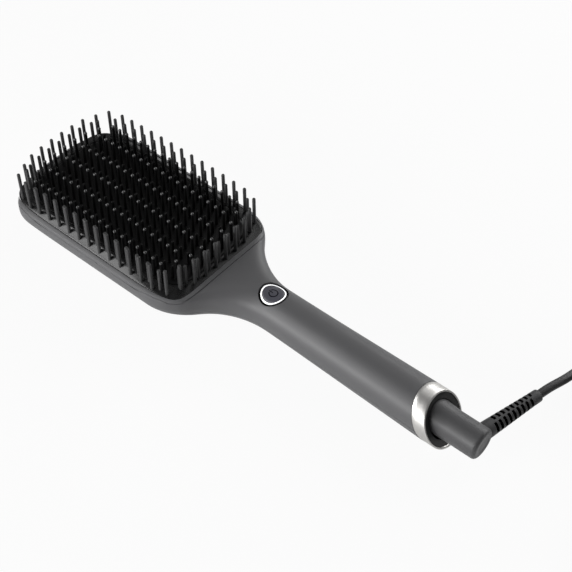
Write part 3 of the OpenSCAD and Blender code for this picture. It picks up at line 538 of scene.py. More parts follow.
FINISHES: dict[str, Finish] = {
    f.name: f
    for f in (
        Finish("soft_grey", (0.142, 0.142, 0.146), (0.126, 0.126, 0.131), 0.46, 0.05, 0.10, 45, 2600),
        # Painted shade: the field's deck, bristle shafts and short tips are darker than the ring and edge bristles of
        # the same black plastic, standing in for the shade among the bristles.
        Finish(
            "plate_field_painted_shade", (0.006, 0.006, 0.0063), (0.004, 0.004, 0.0043), 0.3, 0.06, 0.06, 70, 1800, specular=0.3
        ),
        Finish(
            "field_pin_painted_shade", (0.006, 0.006, 0.0063), (0.004, 0.004, 0.0042), 0.5, 0.06, 0.05, 240, 2400, specular=0.15
        ),
        # Painted light: the long bristles' ball tips are lighter than their shafts, standing in for the light that
        # falls on them.
        Finish(
            "long_tip_painted_light", (0.055, 0.055, 0.056), (0.042, 0.042, 0.043), 0.3, 0.06, 0.05, 240, 2400, specular=0.8
        ),
        Finish(
            "edge_pin_black", (0.085, 0.085, 0.086), (0.065, 0.065, 0.066), 0.42, 0.06, 0.08, 240, 2400, specular=0.2
        ),
        Finish("ring_black", (0.014, 0.014, 0.0145), (0.010, 0.010, 0.0105), 0.27, 0.05, 0.08, 70, 1800),
        Finish(
            "satin_steel", (0.68, 0.67, 0.65), (0.585, 0.575, 0.56), 0.40, 0.10, 0.10, 300, 1400, (6.0, 0.6, 0.6), 1.0
        ),
        Finish("socket_black", (0.012, 0.012, 0.012), (0.008, 0.008, 0.008), 0.42, 0.06, 0.1, 60, 2400),
        Finish("barrel_grey", (0.105, 0.105, 0.108), (0.09, 0.09, 0.093), 0.45, 0.06, 0.12, 60, 2400),
        Finish("relief_grey", (0.085, 0.085, 0.087), (0.068, 0.068, 0.07), 0.52, 0.06, 0.15, 120, 2200),
        Finish("lead_grey", (0.05, 0.05, 0.052), (0.04, 0.04, 0.042), 0.5, 0.06, 0.2, 150, 2000),
        Finish("button_grey", (0.10, 0.10, 0.125), (0.08, 0.08, 0.10), 0.42, 0.08, 0.3, 500, 1800),
        Finish("ring_light", (1.0, 1.0, 1.0), (0.97, 0.98, 1.0), 0.3, 0.02, 0.0, 200, 800, glow=0.9),
        Finish(
            "spreader_metal", (0.72, 0.73, 0.75), (0.62, 0.63, 0.65), 0.35, 0.1, 0.2, 90, 1200, (1, 8, 1), 1.0
        ),
        Finish("ceramic_cream", (0.78, 0.72, 0.6), (0.7, 0.64, 0.52), 0.6, 0.05, 0.2, 150, 1800),
        Finish("board_tan", (0.5, 0.38, 0.2), (0.42, 0.31, 0.16), 0.6, 0.08, 0.2, 200, 900, (1, 6, 1)),
        Finish("board_green", (0.02, 0.16, 0.06), (0.015, 0.12, 0.045), 0.35, 0.05, 0.1, 200, 900),
        Finish("sensor_blue", (0.03, 0.05, 0.22), (0.02, 0.04, 0.16), 0.25, 0.05, 0.05, 200, 900),
        Finish("wire_red", (0.42, 0.03, 0.02), (0.34, 0.02, 0.015), 0.5, 0.05, 0.1, 200, 900),
        Finish("wire_white", (0.75, 0.75, 0.72), (0.66, 0.66, 0.63), 0.5, 0.05, 0.1, 200, 900),
        Finish("wire_blue", (0.03, 0.07, 0.35), (0.02, 0.05, 0.28), 0.5, 0.05, 0.1, 200, 900),
        Finish("capacitor_yellow", (0.6, 0.4, 0.03), (0.52, 0.34, 0.02), 0.35, 0.05, 0.1, 200, 900),
        Finish("part_black", (0.015, 0.015, 0.016), (0.01, 0.01, 0.011), 0.4, 0.05, 0.2, 200, 1500),
        Finish("screw_steel", (0.55, 0.55, 0.57), (0.45, 0.45, 0.47), 0.32, 0.1, 0.1, 200, 900, metallic=1.0),
        Finish("contact_brass", (0.72, 0.5, 0.2), (0.62, 0.42, 0.16), 0.3, 0.1, 0.1, 200, 900, metallic=1.0),
        Finish("pin_nickel", (0.78, 0.77, 0.74), (0.7, 0.69, 0.66), 0.22, 0.08, 0.05, 200, 900, metallic=1.0),
        Finish("tie_black", (0.02, 0.02, 0.021), (0.012, 0.012, 0.013), 0.85, 0.05, 0.9, 900, 1300),
    )
}


# ---------------------------------------------------------------- housings


@dataclass(frozen=True)
class HousingShape:
    """The common outer form of the housings, from the same driving sizes as the CAD source."""

    head_straight: float = 115.9
    head_half_w: float = 42.6
    head_edge_z: float = 19.8
    head_top_z: float = 26.0
    back_bulge: float = 0.5
    corner_run: float = 23.6
    end_square: float = 2.4
    shoulder_r: float = 27.3
    shoulder_angle: float = math.radians(53)
    slope_l: float = 2.73
    front_square: float = 6.0
    back_square: float = 2.0
    handle_top_z: float = 28.7
    neck_r: float = 12.43
    end_r: float = 14.35
    handle_length: float = 101.6
    band_w: float = 8.1
    barrel_reach: float = 24.0
    slant: float = 0.5

    @cached_property
    def arc_fall(self) -> float:
        """How far the outline draws in along the shoulder's arc."""
        return self.shoulder_r * (1 - math.cos(self.shoulder_angle))

    @cached_property
    def hollow_r(self) -> float:
        """Radius of the hollow that runs into the handle."""
        slope_fall = self.slope_l * math.sin(self.shoulder_angle)
        fall = self.head_half_w - self.arc_fall - slope_fall - self.neck_r
        return fall / (1 - math.cos(self.shoulder_angle))

    @cached_property
    def neck_run(self) -> float:
        """Length from the shoulder's start to the handle."""
        arcs = (self.shoulder_r + self.hollow_r) * math.sin(self.shoulder_angle)
        return arcs + self.slope_l * math.cos(self.shoulder_angle)

    @cached_property
    def head_x(self) -> float:
        """Place of the head's far end, so that the brush is centred."""
        return -(self.head_straight + self.neck_run + self.handle_length + self.band_w + self.barrel_reach) / 2

    @cached_property
    def shoulder_x(self) -> float:
        """Where the shoulders start."""
        return self.head_x + self.head_straight

    @cached_property
    def slope_x(self) -> float:
        """Where the straight slope starts."""
        return self.shoulder_x + self.shoulder_r * math.sin(self.shoulder_angle)

    @cached_property
    def neck_x(self) -> float:
        """Where the handle starts."""
        return self.shoulder_x + self.neck_run

    @cached_property
    def band_x(self) -> float:
        """Where the end band starts, on the axis."""
        return self.neck_x + self.handle_length

    @cached_property
    def band_end_x(self) -> float:
        """Where the end band ends, on the axis."""
        return self.band_x + self.band_w

    @cached_property
    def barrel_x(self) -> float:
        """Where the swivel barrel ends."""
        return -self.head_x

    @cached_property
    def button_x(self) -> float:
        """Place of the button."""
        return self.neck_x - 2.6

    @cached_property
    def axis_z(self) -> float:
        """Height of the handle's axis at its end."""
        return self.handle_top_z - self.end_r

    def handle_r(self, x: float) -> float:
        """Radius of the handle."""
        return self.neck_r + (x - self.neck_x) * (self.end_r - self.neck_r) / (self.band_x - self.neck_x)

    def side_w(self, x: float) -> float:
        """Half width of the plan outline without the far corners' rounding."""
        hollow_x = self.neck_x - self.hollow_r * math.sin(self.shoulder_angle)
        if x < self.shoulder_x:
            return self.head_half_w
        if x < self.slope_x:
            return self.head_half_w - self.shoulder_r + math.sqrt(self.shoulder_r**2 - (x - self.shoulder_x) ** 2)
        if x < hollow_x:
            return self.head_half_w - self.arc_fall - (x - self.slope_x) * math.tan(self.shoulder_angle)
        if x < self.neck_x:
            return self.neck_r + self.hollow_r - math.sqrt(self.hollow_r**2 - (self.neck_x - x) ** 2)
        return self.handle_r(x)

    @staticmethod
    def tip(u: float, run: float, power: float) -> float:
        """Rounding of the far end, from 0 at its tip to 1 after the run."""
        return (1 - max(0.0, 1 - max(u, 0.0) / run) ** power) ** (1 / power)

    def height_share(self, x: float) -> float:
        """Share of the head's heights left at x."""
        return ease(x, self.shoulder_x - 12, self.neck_x + 40)

    def square_share(self, x: float) -> float:
        """Share of the head's squareness left at x."""
        return ease(x, self.shoulder_x - 2, self.neck_x - 5)

    def wide_z(self, x: float) -> float:
        """Height of the widest line."""
        return mix(self.handle_top_z - self.handle_r(x), self.head_edge_z, self.height_share(x))

    def half_section(self, x: float, inset: float, half: Section, count: int) -> Points:
        """Even points on half of a section, from one side to the other.

        Args:
            x: Place along the brush.
            inset: How far the section is drawn in.
            half: Which half.
            count: How many points, both ends among them.

        Returns:
            The points, one row each.
        """
        u = x - self.head_x - inset
        w = (self.side_w(x) - inset) * self.tip(u, self.corner_run, self.end_square)
        zc = self.wide_z(x)
        if half is Section.FRONT:
            top = mix(self.handle_top_z, self.head_top_z, self.square_share(x))
            h = (top - inset - zc) * self.tip(u, self.head_half_w, self.front_square)
            n = mix(2.0, self.front_square, self.square_share(x))
        else:
            low = mix(self.handle_top_z - 2 * self.handle_r(x), -self.back_bulge, self.height_share(x))
            h = (zc - inset - low) * self.tip(u, self.head_half_w, self.back_square)
            n = mix(2.0, self.back_square, self.square_share(x))
        a = np.linspace(0, math.pi, 721)
        y = w * signed_power(np.cos(a), 2 / n)
        z = zc + half.value * h * signed_power(np.sin(a), 2 / n)
        line = np.stack([np.full(a.shape, x), y, z], axis=1)
        line = even_steps(line if half is Section.FRONT else line[::-1], count)
        line[:, 2] = np.maximum(line[:, 2], inset)
        return line

    def rings(self, inset: float, count: int = 64) -> Points:
        """Rings of points along the whole housing.

        Args:
            inset: How far the form is drawn in.
            count: Points on each half of a ring.

        Returns:
            Rings as rows of points.
        """
        start = self.head_x + inset + 0.03
        xs = np.concatenate(
            [
                start + self.corner_run * (np.arange(26) / 26.0) ** 2,
                np.linspace(self.head_x + self.corner_run + 1, self.shoulder_x - 14, 14, endpoint=False),
                np.linspace(self.shoulder_x - 14, self.neck_x, 46, endpoint=False),
                np.linspace(self.neck_x, self.band_x + 12, 26),
            ]
        )
        rows = []
        for x in xs:
            front = self.half_section(x, inset, Section.FRONT, count + 1)
            back = self.half_section(x, inset, Section.BACK, count + 1)
            rows.append(np.vstack([front[:-1], back[:-1]]))
        return np.array(rows)

    def form(self, name: str, inset: float) -> bpy.types.Object:
        """The closed form, drawn in by inset."""
        return solid(name, self.rings(inset))

    def slanted_block(self, name: str, x: float) -> bpy.types.Object:
        """A block that holds everything on the head's side of the slanted plane through x on the axis."""
        bm = bmesh.new()
        bmesh.ops.create_cube(bm, size=600.0)
        bmesh.ops.translate(bm, vec=(-300, 0, 0), verts=bm.verts)
        for v in bm.verts:
            if v.co.x > -1:
                v.co.x = x - self.slant * v.co.z
            v.co.z += self.axis_z
        return as_object(name, bm)


@dataclass(frozen=True)
class PlateShape:
    """Outlines and dome of the brush plate."""

    shape: HousingShape
    margin: float = 3.0
    reach: float = 20.6
    side: float = 2.9
    squares: tuple[float, float] = (6.5, 7.5)
    rim_squares: tuple[float, float] = (5.5, 5.5)
    crown_z: float = 30.0
    fall_y: float = 1.6
    fall_x: float = 3.7
    edge_z: float = 25.3
    edge_run: float = 4.4
    ring_w: float = 6.0
    base_z: float = 23.8

    @cached_property
    def half_l(self) -> float:
        """Half of the plate's length."""
        return (self.shape.head_straight + self.reach - self.margin) / 2

    @cached_property
    def half_w(self) -> float:
        """Half of the plate's width."""
        return self.shape.head_half_w - self.side

    @cached_property
    def x(self) -> float:
        """Place of the plate's middle."""
        return self.shape.head_x + self.margin + self.half_l

    def outline(self, grow: float, squares: tuple[float, float], count: int = 192) -> Points:
        """Even points round an outline.

        Args:
            grow: How far it is drawn out beyond the plate's edge.
            squares: Its squareness towards the far end and towards the handle.
            count: How many points.

        Returns:
            The points, one row each.
        """
        a = np.linspace(0, 2 * math.pi, 2881)
        e = np.where(np.cos(a) < 0, 2 / squares[0], 2 / squares[1])
        x = self.x + (self.half_l + grow) * signed_power(np.cos(a), e)
        y = (self.half_w + grow) * signed_power(np.sin(a), e)
        return even_steps(np.stack([x, y], axis=1), count + 1)[:-1]

    def z(self, x: Points | float, y: Points | float) -> Points | float:
        """Height of the plate's dome."""
        across, along = y / self.half_w, (x - self.x) / self.half_l
        return self.crown_z - self.fall_y * across**2 - self.fall_x * along**2

    def prism(self, name: str, grow: float, low: float, high: float, rim: bool = True) -> bpy.types.Object:
        """An upright prism on the bezel's outline, or on the plate's own."""
        flat = self.outline(grow, self.rim_squares if rim else self.squares)
        rows = np.stack([np.c_[flat, np.full(len(flat), z)] for z in (low, high)])
        return solid(name, rows)

    def ring(self, inset: float, drop: float = 0.0) -> Points:
        """A ring on the plate's face.

        Args:
            inset: How far it is drawn in from the edge.
            drop: How far it is lowered.

        Returns:
            The ring's points.
        """
        share = min(1.0, max(0.0, (inset - self.edge_run) / (self.ring_w - self.edge_run)))
        flat = mix(self.outline(-inset, self.squares), self.outline(-inset, self.rim_squares), share)
        climb = min(1.0, inset / self.edge_run)
        z = mix(self.edge_z, self.z(flat[:, 0], flat[:, 1]), 1 - (1 - climb) ** 1.12)
        return np.c_[flat, z - drop]

    def base_ring(self, inset: float) -> Points:
        """The same ring on the plate's base."""
        ring = self.ring(inset)
        ring[:, 2] = self.base_z
        return ring


@dataclass
class Housings:
    """Rear housing, front housing and bezel, with shadow gaps between them."""

    shape: HousingShape
    plate: PlateShape
    wall: float = 1.8
    seam_z: float = 13.3
    bezel_seam_z: float = 22.8
    bezel_rim: float = 3.0
    bezel_lift: float = 0.5
    gap: float = 0.12
    lip: float = 0.35
    hole_r: float = 8.225

    def layers(self) -> tuple[bpy.types.Object, bpy.types.Object, bpy.types.Object]:
        """The outer form, the same drawn in by a lip, and the inner space, all cut on the slant."""
        outer = self.shape.form("outer", 0.0)
        lipped = self.shape.form("lipped", self.lip)
        for form in (outer, lipped):
            combine(form, self.shape.slanted_block("slant", self.shape.band_x), Join.KEEP)
        return outer, lipped, self.shape.form("inner", self.wall)

    def build(self, m: Materials) -> None:
        """Builds the three pieces and dresses them.

        Args:
            m: The finishes by name.
        """
        outer, lipped, inner = self.layers()
        low, high, big, g = self.seam_z, 40.0, 200.0, self.gap

        def part(form: bpy.types.Object, name: str, z0: float, z1: float) -> bpy.types.Object:
            """A copy of a form between two heights."""
            return combine(copy_of(form, name), block("b", (-big, -big, z0), (big, big, z1)), Join.KEEP)

        rear, rear_lip = part(outer, "rear_housing", -1, low - g), part(lipped, "l", -1, low - 0.02)
        combine(combine(rear, rear_lip, Join.ADD), inner, Join.CUT, keep=True)
        front, front_lip = part(outer, "front_housing", low + g, high), part(lipped, "l", low + 0.02, high)
        combine(front, self.plate.prism("p", self.bezel_rim + g, self.bezel_seam_z - g, high), Join.CUT)
        opening = self.plate.prism("p", self.bezel_rim + 0.02, self.bezel_seam_z - 0.02, high)
        combine(front_lip, opening, Join.CUT)
        combine(combine(front, front_lip, Join.ADD), inner, Join.CUT, keep=True)
        combine(front, self.plate.prism("p", 0.3, low - 1, high, False), Join.CUT)
        combine(front, self.button_hole(), Join.CUT)
        for form in (outer, lipped):
            form.data.transform(Matrix.Translation((0, 0, self.bezel_lift)))
        rim = self.bezel_rim
        rim_form = self.plate.prism("p", rim - g, self.bezel_seam_z + g, high)
        bezel = combine(copy_of(outer, "front_bezel_ring"), rim_form, Join.KEEP)
        lip_form = self.plate.prism("p", rim - 0.04, self.bezel_seam_z + 0.02, high)
        bezel_lip = combine(copy_of(lipped, "l"), lip_form, Join.KEEP)
        combine(bezel, bezel_lip, Join.ADD)
        combine(bezel, self.plate.prism("p", 0.3, low, high, False), Join.CUT)
        discard(outer, lipped, inner)
        for form, node in ((rear, "rear_shell"), (front, "front_shell"), (bezel, "front_bezel")):
            finish(form, Carrier.BODY, m["soft_grey"], (node,))

    def button_hole(self) -> bpy.types.Object:
        """The upright hole for the button."""
        bm = bmesh.new()
        r = self.hole_r
        bmesh.ops.create_cone(bm, cap_ends=True, segments=96, radius1=r, radius2=r, depth=20.0)
        bmesh.ops.translate(bm, vec=(self.shape.button_x, 0, 28.0), verts=bm.verts)
        return as_object("hole", bm)


# ---------------------------------------------------------------- brush plate


@dataclass
class BrushPlate:
    """The plate's outer ring and field, and their bristles."""

    plate: PlateShape
    bristle_r: float = 1.0
    shaft_r: float = 0.85
    ball_r: float = 1.0
    edge_inset: float = 2.05
    end_inset: float = 2.95
    second_inset: float = 4.4
    arc_inset: float = 9.2
    tip_lift: float = 0.7

    @cached_property
    def edge_pitch(self) -> float:
        """Pitch of the edge bristles, 14 of which stand in a long row."""
        return 2 * (self.plate.half_l - 14.75) / 13

    @cached_property
    def field_pitch(self) -> float:
        """Pitch along a row of the field, which holds up to 19 bristles."""
        return 2 * (self.plate.half_l - 15) / 18

    @cached_property
    def row_pitch(self) -> float:
        """Pitch of the field's rows, which lie on both sides of the middle one."""
        return (self.plate.half_w - self.plate.ring_w - 1.95) / 5

    def ring_form(self) -> bmesh.types.BMesh:
        """The outer ring, which slopes down to its edge and has a fine step at its inner edge."""
        p = self.plate
        run, w = p.edge_run, p.ring_w
        rows = [p.base_ring(0), p.ring(0, 0.3), p.ring(0.08, 0.1)]
        rows += [p.ring(i) for i in (0.3, 1.2, 2.2, 3.2, 4.0)]
        rows += [p.ring(run, 0.03), p.ring(run + 0.3), *(p.ring(i) for i in (run + 0.8, w - 0.3))]
        rows += [p.ring(w - 0.12, 0.1), p.ring(w - 0.05, 0.4), p.base_ring(w - 0.05)]
        return skin(np.array([*rows, rows[0]]))

    def field_form(self) -> bmesh.types.BMesh:
        """The field inside the ring."""
        p = self.plate
        w = p.ring_w + 0.08
        rows = [p.base_ring(w), p.ring(w, 0.4), p.ring(w + 0.08, 0.12), p.ring(w + 0.3)]
        rows += [p.ring(i) for i in (7.5, 9, 12, 16, 20, 24, 28, 32, 36, 39.6)]
        return skin(closed_rows(np.array(rows)))

    def edge_line(self, y: float, inset: float, side: int) -> float:
        """Place of the bowed end rows at y."""
        square = self.plate.rim_squares[0]
        share = (1 - (abs(y) / (self.plate.half_w - inset)) ** square) ** (1 / square)
        return self.plate.x + side * ((self.plate.half_l - inset) * share - (y / 34) ** 2)

    def long_row(self, inset: float, count: int) -> list[tuple[float, float]]:
        """Places along both long sides."""
        middle = (count - 1) / 2
        return [
            (self.plate.x + (i - middle) * self.edge_pitch, s * (self.plate.half_w - inset))
            for s in (-1, 1)
            for i in range(count)
        ]

    def end_row(self, inset: float, count: int) -> list[tuple[float, float]]:
        """Places along both ends."""
        ys = [(i - (count - 1) / 2) * self.edge_pitch for i in range(count)]
        return [(self.edge_line(y, inset, s), y) for s in (-1, 1) for y in ys]

    def corner_places(self, inset: float, share: tuple[float, float]) -> list[tuple[float, float]]:
        """Places at the four corners, as shares of the outline's half length and half width."""
        x, y = (self.plate.half_l - inset) * share[0], (self.plate.half_w - inset) * share[1]
        return [(self.plate.x + sx * x, sy * y) for sx in (-1, 1) for sy in (-1, 1)]

    def field_row(self, y: float, count: int) -> list[tuple[float, float]]:
        """Places in one row of the field."""
        middle = (count - 1) / 2
        return [(self.plate.x + (i - middle) * self.field_pitch, y) for i in range(count)]

    def tip_z(self, x: float, y: float, height: float) -> float:
        """Height of a bristle's tip."""
        lift = self.tip_lift * ((x - self.plate.x) / self.plate.half_l) ** 2
        return float(self.plate.z(x, y)) + height + lift

    @staticmethod
    def upright(x: float, y: float, steps: Sequence[tuple[float, float]]) -> bmesh.types.BMesh:
        """An eight-sided upright form with a radius at each height."""
        a = np.linspace(0, 2 * math.pi, 8, endpoint=False)
        rows = np.array([np.c_[x + r * np.cos(a), y + r * np.sin(a), np.full(8, z)] for z, r in steps])
        return skin(closed_rows(rows))

    def blunt_pin(self, x: float, y: float, height: float) -> bmesh.types.BMesh:
        """An edge bristle: an even shaft with a blunt tip."""
        r, top = self.bristle_r, self.tip_z(x, y, height)
        foot = max(self.plate.base_z + 0.45, float(self.plate.z(x, y)) - 2.5)
        return self.upright(x, y, [(foot, r), (top - 0.4, 0.98 * r), (top - 0.12, 0.86 * r), (top, 0.62 * r)])

    def shaft(self, x: float, y: float, height: float) -> bmesh.types.BMesh:
        """The shaft of a field bristle."""
        r, top = self.shaft_r, self.tip_z(x, y, height)
        return self.upright(x, y, [(float(self.plate.z(x, y)) - 0.7, 1.1 * r), (top - self.ball_r, r)])

    def ball(self, x: float, y: float, height: float) -> bmesh.types.BMesh:
        """The round tip of a field bristle."""
        r, top = self.ball_r, self.tip_z(x, y, height)
        turns = [math.radians(v) for v in (-50, -20, 10, 40, 66)]
        return self.upright(x, y, [(top - r + r * math.sin(t), r * math.cos(t)) for t in turns])

    @staticmethod
    def gather(
        name: str,
        groups: Sequence[tuple[Sequence[tuple[float, float]], float]],
        make: Callable[[float, float, float], bmesh.types.BMesh],
    ) -> bpy.types.Object:
        """One object that holds a form at each place.

        Args:
            name: The object's name.
            groups: Places and the height that they share.
            make: Makes the form at a place.

        Returns:
            The object.
        """
        forms = (make(x, y, height) for places, height in groups for x, y in places)
        return as_object(name, merged(forms))

    def build(self, m: Materials) -> None:
        """Builds the plate and its bristles and dresses them.

        Args:
            m: The finishes by name.
        """
        inset, second = self.edge_inset, self.second_inset
        tall = self.long_row(inset, 13) + self.end_row(self.end_inset, 8) + self.corner_places(inset, (0.88, 0.94))
        low = self.long_row(second, 14) + self.end_row(second, 7) + self.corner_places(second, (0.95, 0.787))
        rows = [k * self.row_pitch * (0.96 if abs(k) == 5 else 1) for k in (-5, -3, -1, 1, 3, 5)]
        long_places = [place for y in rows for place in self.field_row(y, 18)] + self.end_row(self.arc_inset, 7)
        short_places = [place for k in (-4, -2, 0, 2, 4) for place in self.field_row(k * self.row_pitch, 19)]
        edge, field_groups = [(tall, 17.5), (low, 14.0)], [(long_places, 13.5), (short_places, 8.6)]
        # The field's deck, shafts and short tips wear painted shade, darker than the edge ring and edge bristles.
        pieces = (
            (as_object("edge_ring", self.ring_form()), "ring_black", "edge_bristles", 32),
            (as_object("brush_field", self.field_form()), "plate_field_painted_shade", "field_bristles", 32),
            (self.gather("edge_pins", edge, self.blunt_pin), "edge_pin_black", "edge_bristles", 60),
            (self.gather("field_pins", field_groups, self.shaft), "field_pin_painted_shade", "field_bristles", 60),
            # The long tips are painted lighter than their shafts, as painted light.
            (self.gather("long_pin_tips", field_groups[:1], self.ball), "long_tip_painted_light", "field_bristles", 80),
            (self.gather("short_pin_tips", field_groups[1:], self.ball), "field_pin_painted_shade", "field_bristles", 80),
        )
        for piece, finish_name, node, crease in pieces:
            finish(piece, Carrier.BODY, m[finish_name], (node,), crease)


# ---------------------------------------------------------------- button


@dataclass
class PushButton:
    """Recess, light ring and cap on the handle's round top."""

    shape: HousingShape
    ring_r: float = 6.925
    ring_wall: float = 0.8
    ring_sink: float = 0.25
    cap_sink: float = 0.2
    gap: float = 0.3
    recess_w: float = 1.25
    well_drop: float = 1.2
    sides: int = 96

    @property
    def x(self) -> float:
        """The button's place along the brush."""
        return self.shape.button_x

    @property
    def well_r(self) -> float:
        """Radius of the recess."""
        return self.ring_r + self.recess_w

    @property
    def cap_r(self) -> float:
        """Radius of the cap."""
        return self.ring_r - self.ring_wall - self.gap

    def top(self, r: float, proud: float) -> Points:
        """A ring of points on the handle's round top, drawn in to r and raised."""
        a = np.linspace(0, 2 * math.pi, self.sides, endpoint=False)
        x, y = self.x + r * np.cos(a), r * np.sin(a)
        handle = self.shape.handle_r(self.x)
        z = self.shape.handle_top_z - handle + np.sqrt((handle + proud) ** 2 - y**2)
        return np.stack([x, y, z], axis=1)

    def level(self, r: float, z: float) -> Points:
        """A level ring of points."""
        ring = self.top(r, 0.0)
        ring[:, 2] = z
        return ring

    def well(self) -> bmesh.types.BMesh:
        """The recess, dressed black as painted shade: outer wall, rim, inner wall and floor with a hole for the stem.
        """
        rim, drop, slot = self.well_r, self.well_drop, self.ring_r + 0.03
        rows = [self.level(rim, 20.2), self.top(rim, -drop - 0.15), self.top(rim - 0.15, -drop)]
        rows += [self.top(slot + 0.15, -drop), self.top(slot, -drop - 0.15), self.level(slot, 21.2)]
        rows += [self.level(2.5, 21.2), self.level(2.5, 20.2), rows[0]]
        return skin(np.array(rows))

    def sleeve(self) -> bmesh.types.BMesh:
        """The part of the light guide below its lit face."""
        r0, r1 = self.ring_r - self.ring_wall, self.ring_r - 0.01
        low = self.ring_sink + 0.14
        rows = [self.level(r1, 21.25), self.top(r1, -low), self.top(r0, -low), self.level(r0, 21.25)]
        return skin(np.array([*rows, rows[0]]))

    def light(self) -> bmesh.types.BMesh:
        """The lit face with softly rounded rims."""
        r0, r1, sink = self.ring_r - self.ring_wall, self.ring_r - 0.01, self.ring_sink
        rows = [self.top(r1, -sink - 0.13), self.top(r1, -sink - 0.08), self.top(r1 - 0.08, -sink)]
        rows += [self.top(r0 + 0.08, -sink), self.top(r0, -sink - 0.08), self.top(r0, -sink - 0.13)]
        return skin(np.array([*rows, rows[0]]))

    def cap(self) -> bmesh.types.BMesh:
        """The cap, slightly hollow, with its stem."""
        r, sink = self.cap_r, self.cap_sink
        rows = [self.level(2.1, 20.8), self.level(2.1, 22.6), self.level(r, 22.95), self.top(r, -sink - 0.42)]
        rows += [self.top(r - 0.1, -sink - 0.18), self.top(r - 0.3, -sink - 0.04), self.top(r - 0.6, -sink)]
        rows += [self.top(q * r, -sink - 0.2 * (1 - (q / 0.9) ** 2)) for q in (0.8, 0.66, 0.52, 0.38, 0.24, 0.1)]
        return skin(closed_rows(np.array(rows)))

    def marked(self, material: bpy.types.Material) -> bpy.types.Material:
        """Adds a plain on/off mark, an open circle with a bar, to the cap's finish.

        Args:
            material: The cap's finish.

        Returns:
            The same material with the mark darkened.
        """
        w = Sockets(material.node_tree)
        radius, thick, opening, bar_x, bar_l = 2.4, 0.3, 0.75, 1.7, 1.25
        split = w.add("ShaderNodeSeparateXYZ")
        w.link(w.place(), split.inputs[0])
        x = w.math("MULTIPLY", w.math("SUBTRACT", split.outputs["X"], self.x * MM), 1000.0)
        y = w.math("MULTIPLY", split.outputs["Y"], 1000.0)
        away = w.math("SQRT", w.math("ADD", w.math("MULTIPLY", x, x), w.math("MULTIPLY", y, y)))
        circle = w.math("LESS_THAN", w.math("ABSOLUTE", w.math("SUBTRACT", away, radius)), thick)
        side = w.math("ABSOLUTE", y)
        open_side = w.math("MULTIPLY", w.math("LESS_THAN", side, opening), w.math("LESS_THAN", x, 0.0))
        arc = w.math("MULTIPLY", circle, w.math("SUBTRACT", 1.0, open_side))
        bar_run = w.math("LESS_THAN", w.math("ABSOLUTE", w.math("ADD", x, bar_x)), bar_l)
        bar = w.math("MULTIPLY", w.math("LESS_THAN", side, thick), bar_run)
        return darkened(material, w.math("MAXIMUM", arc, bar), (0.008, 0.008, 0.012))

    def build(self, m: Materials) -> None:
        """Builds the recess, ring and cap and dresses them.

        Args:
            m: The finishes by name.
        """
        dark, well, sleeve = m["socket_black"], as_object("button_recess", self.well()), self.sleeve()
        # The recess's black finish is painted shade, standing in for the shade that falls into it.
        finish(well, Carrier.BODY, dark, ("button_well",))
        finish(as_object("light_sleeve", sleeve), Carrier.BODY, dark, ("light_ring",), 50)
        light, cap = as_object("button_light", self.light()), as_object("power_cap", self.cap())
        finish(light, Carrier.BODY, m["ring_light"], ("light_ring",), 50)
        finish(cap, Carrier.BUTTON, self.marked(m["button_grey"]), ("button_cap",), 50)


# ---------------------------------------------------------------- lead end


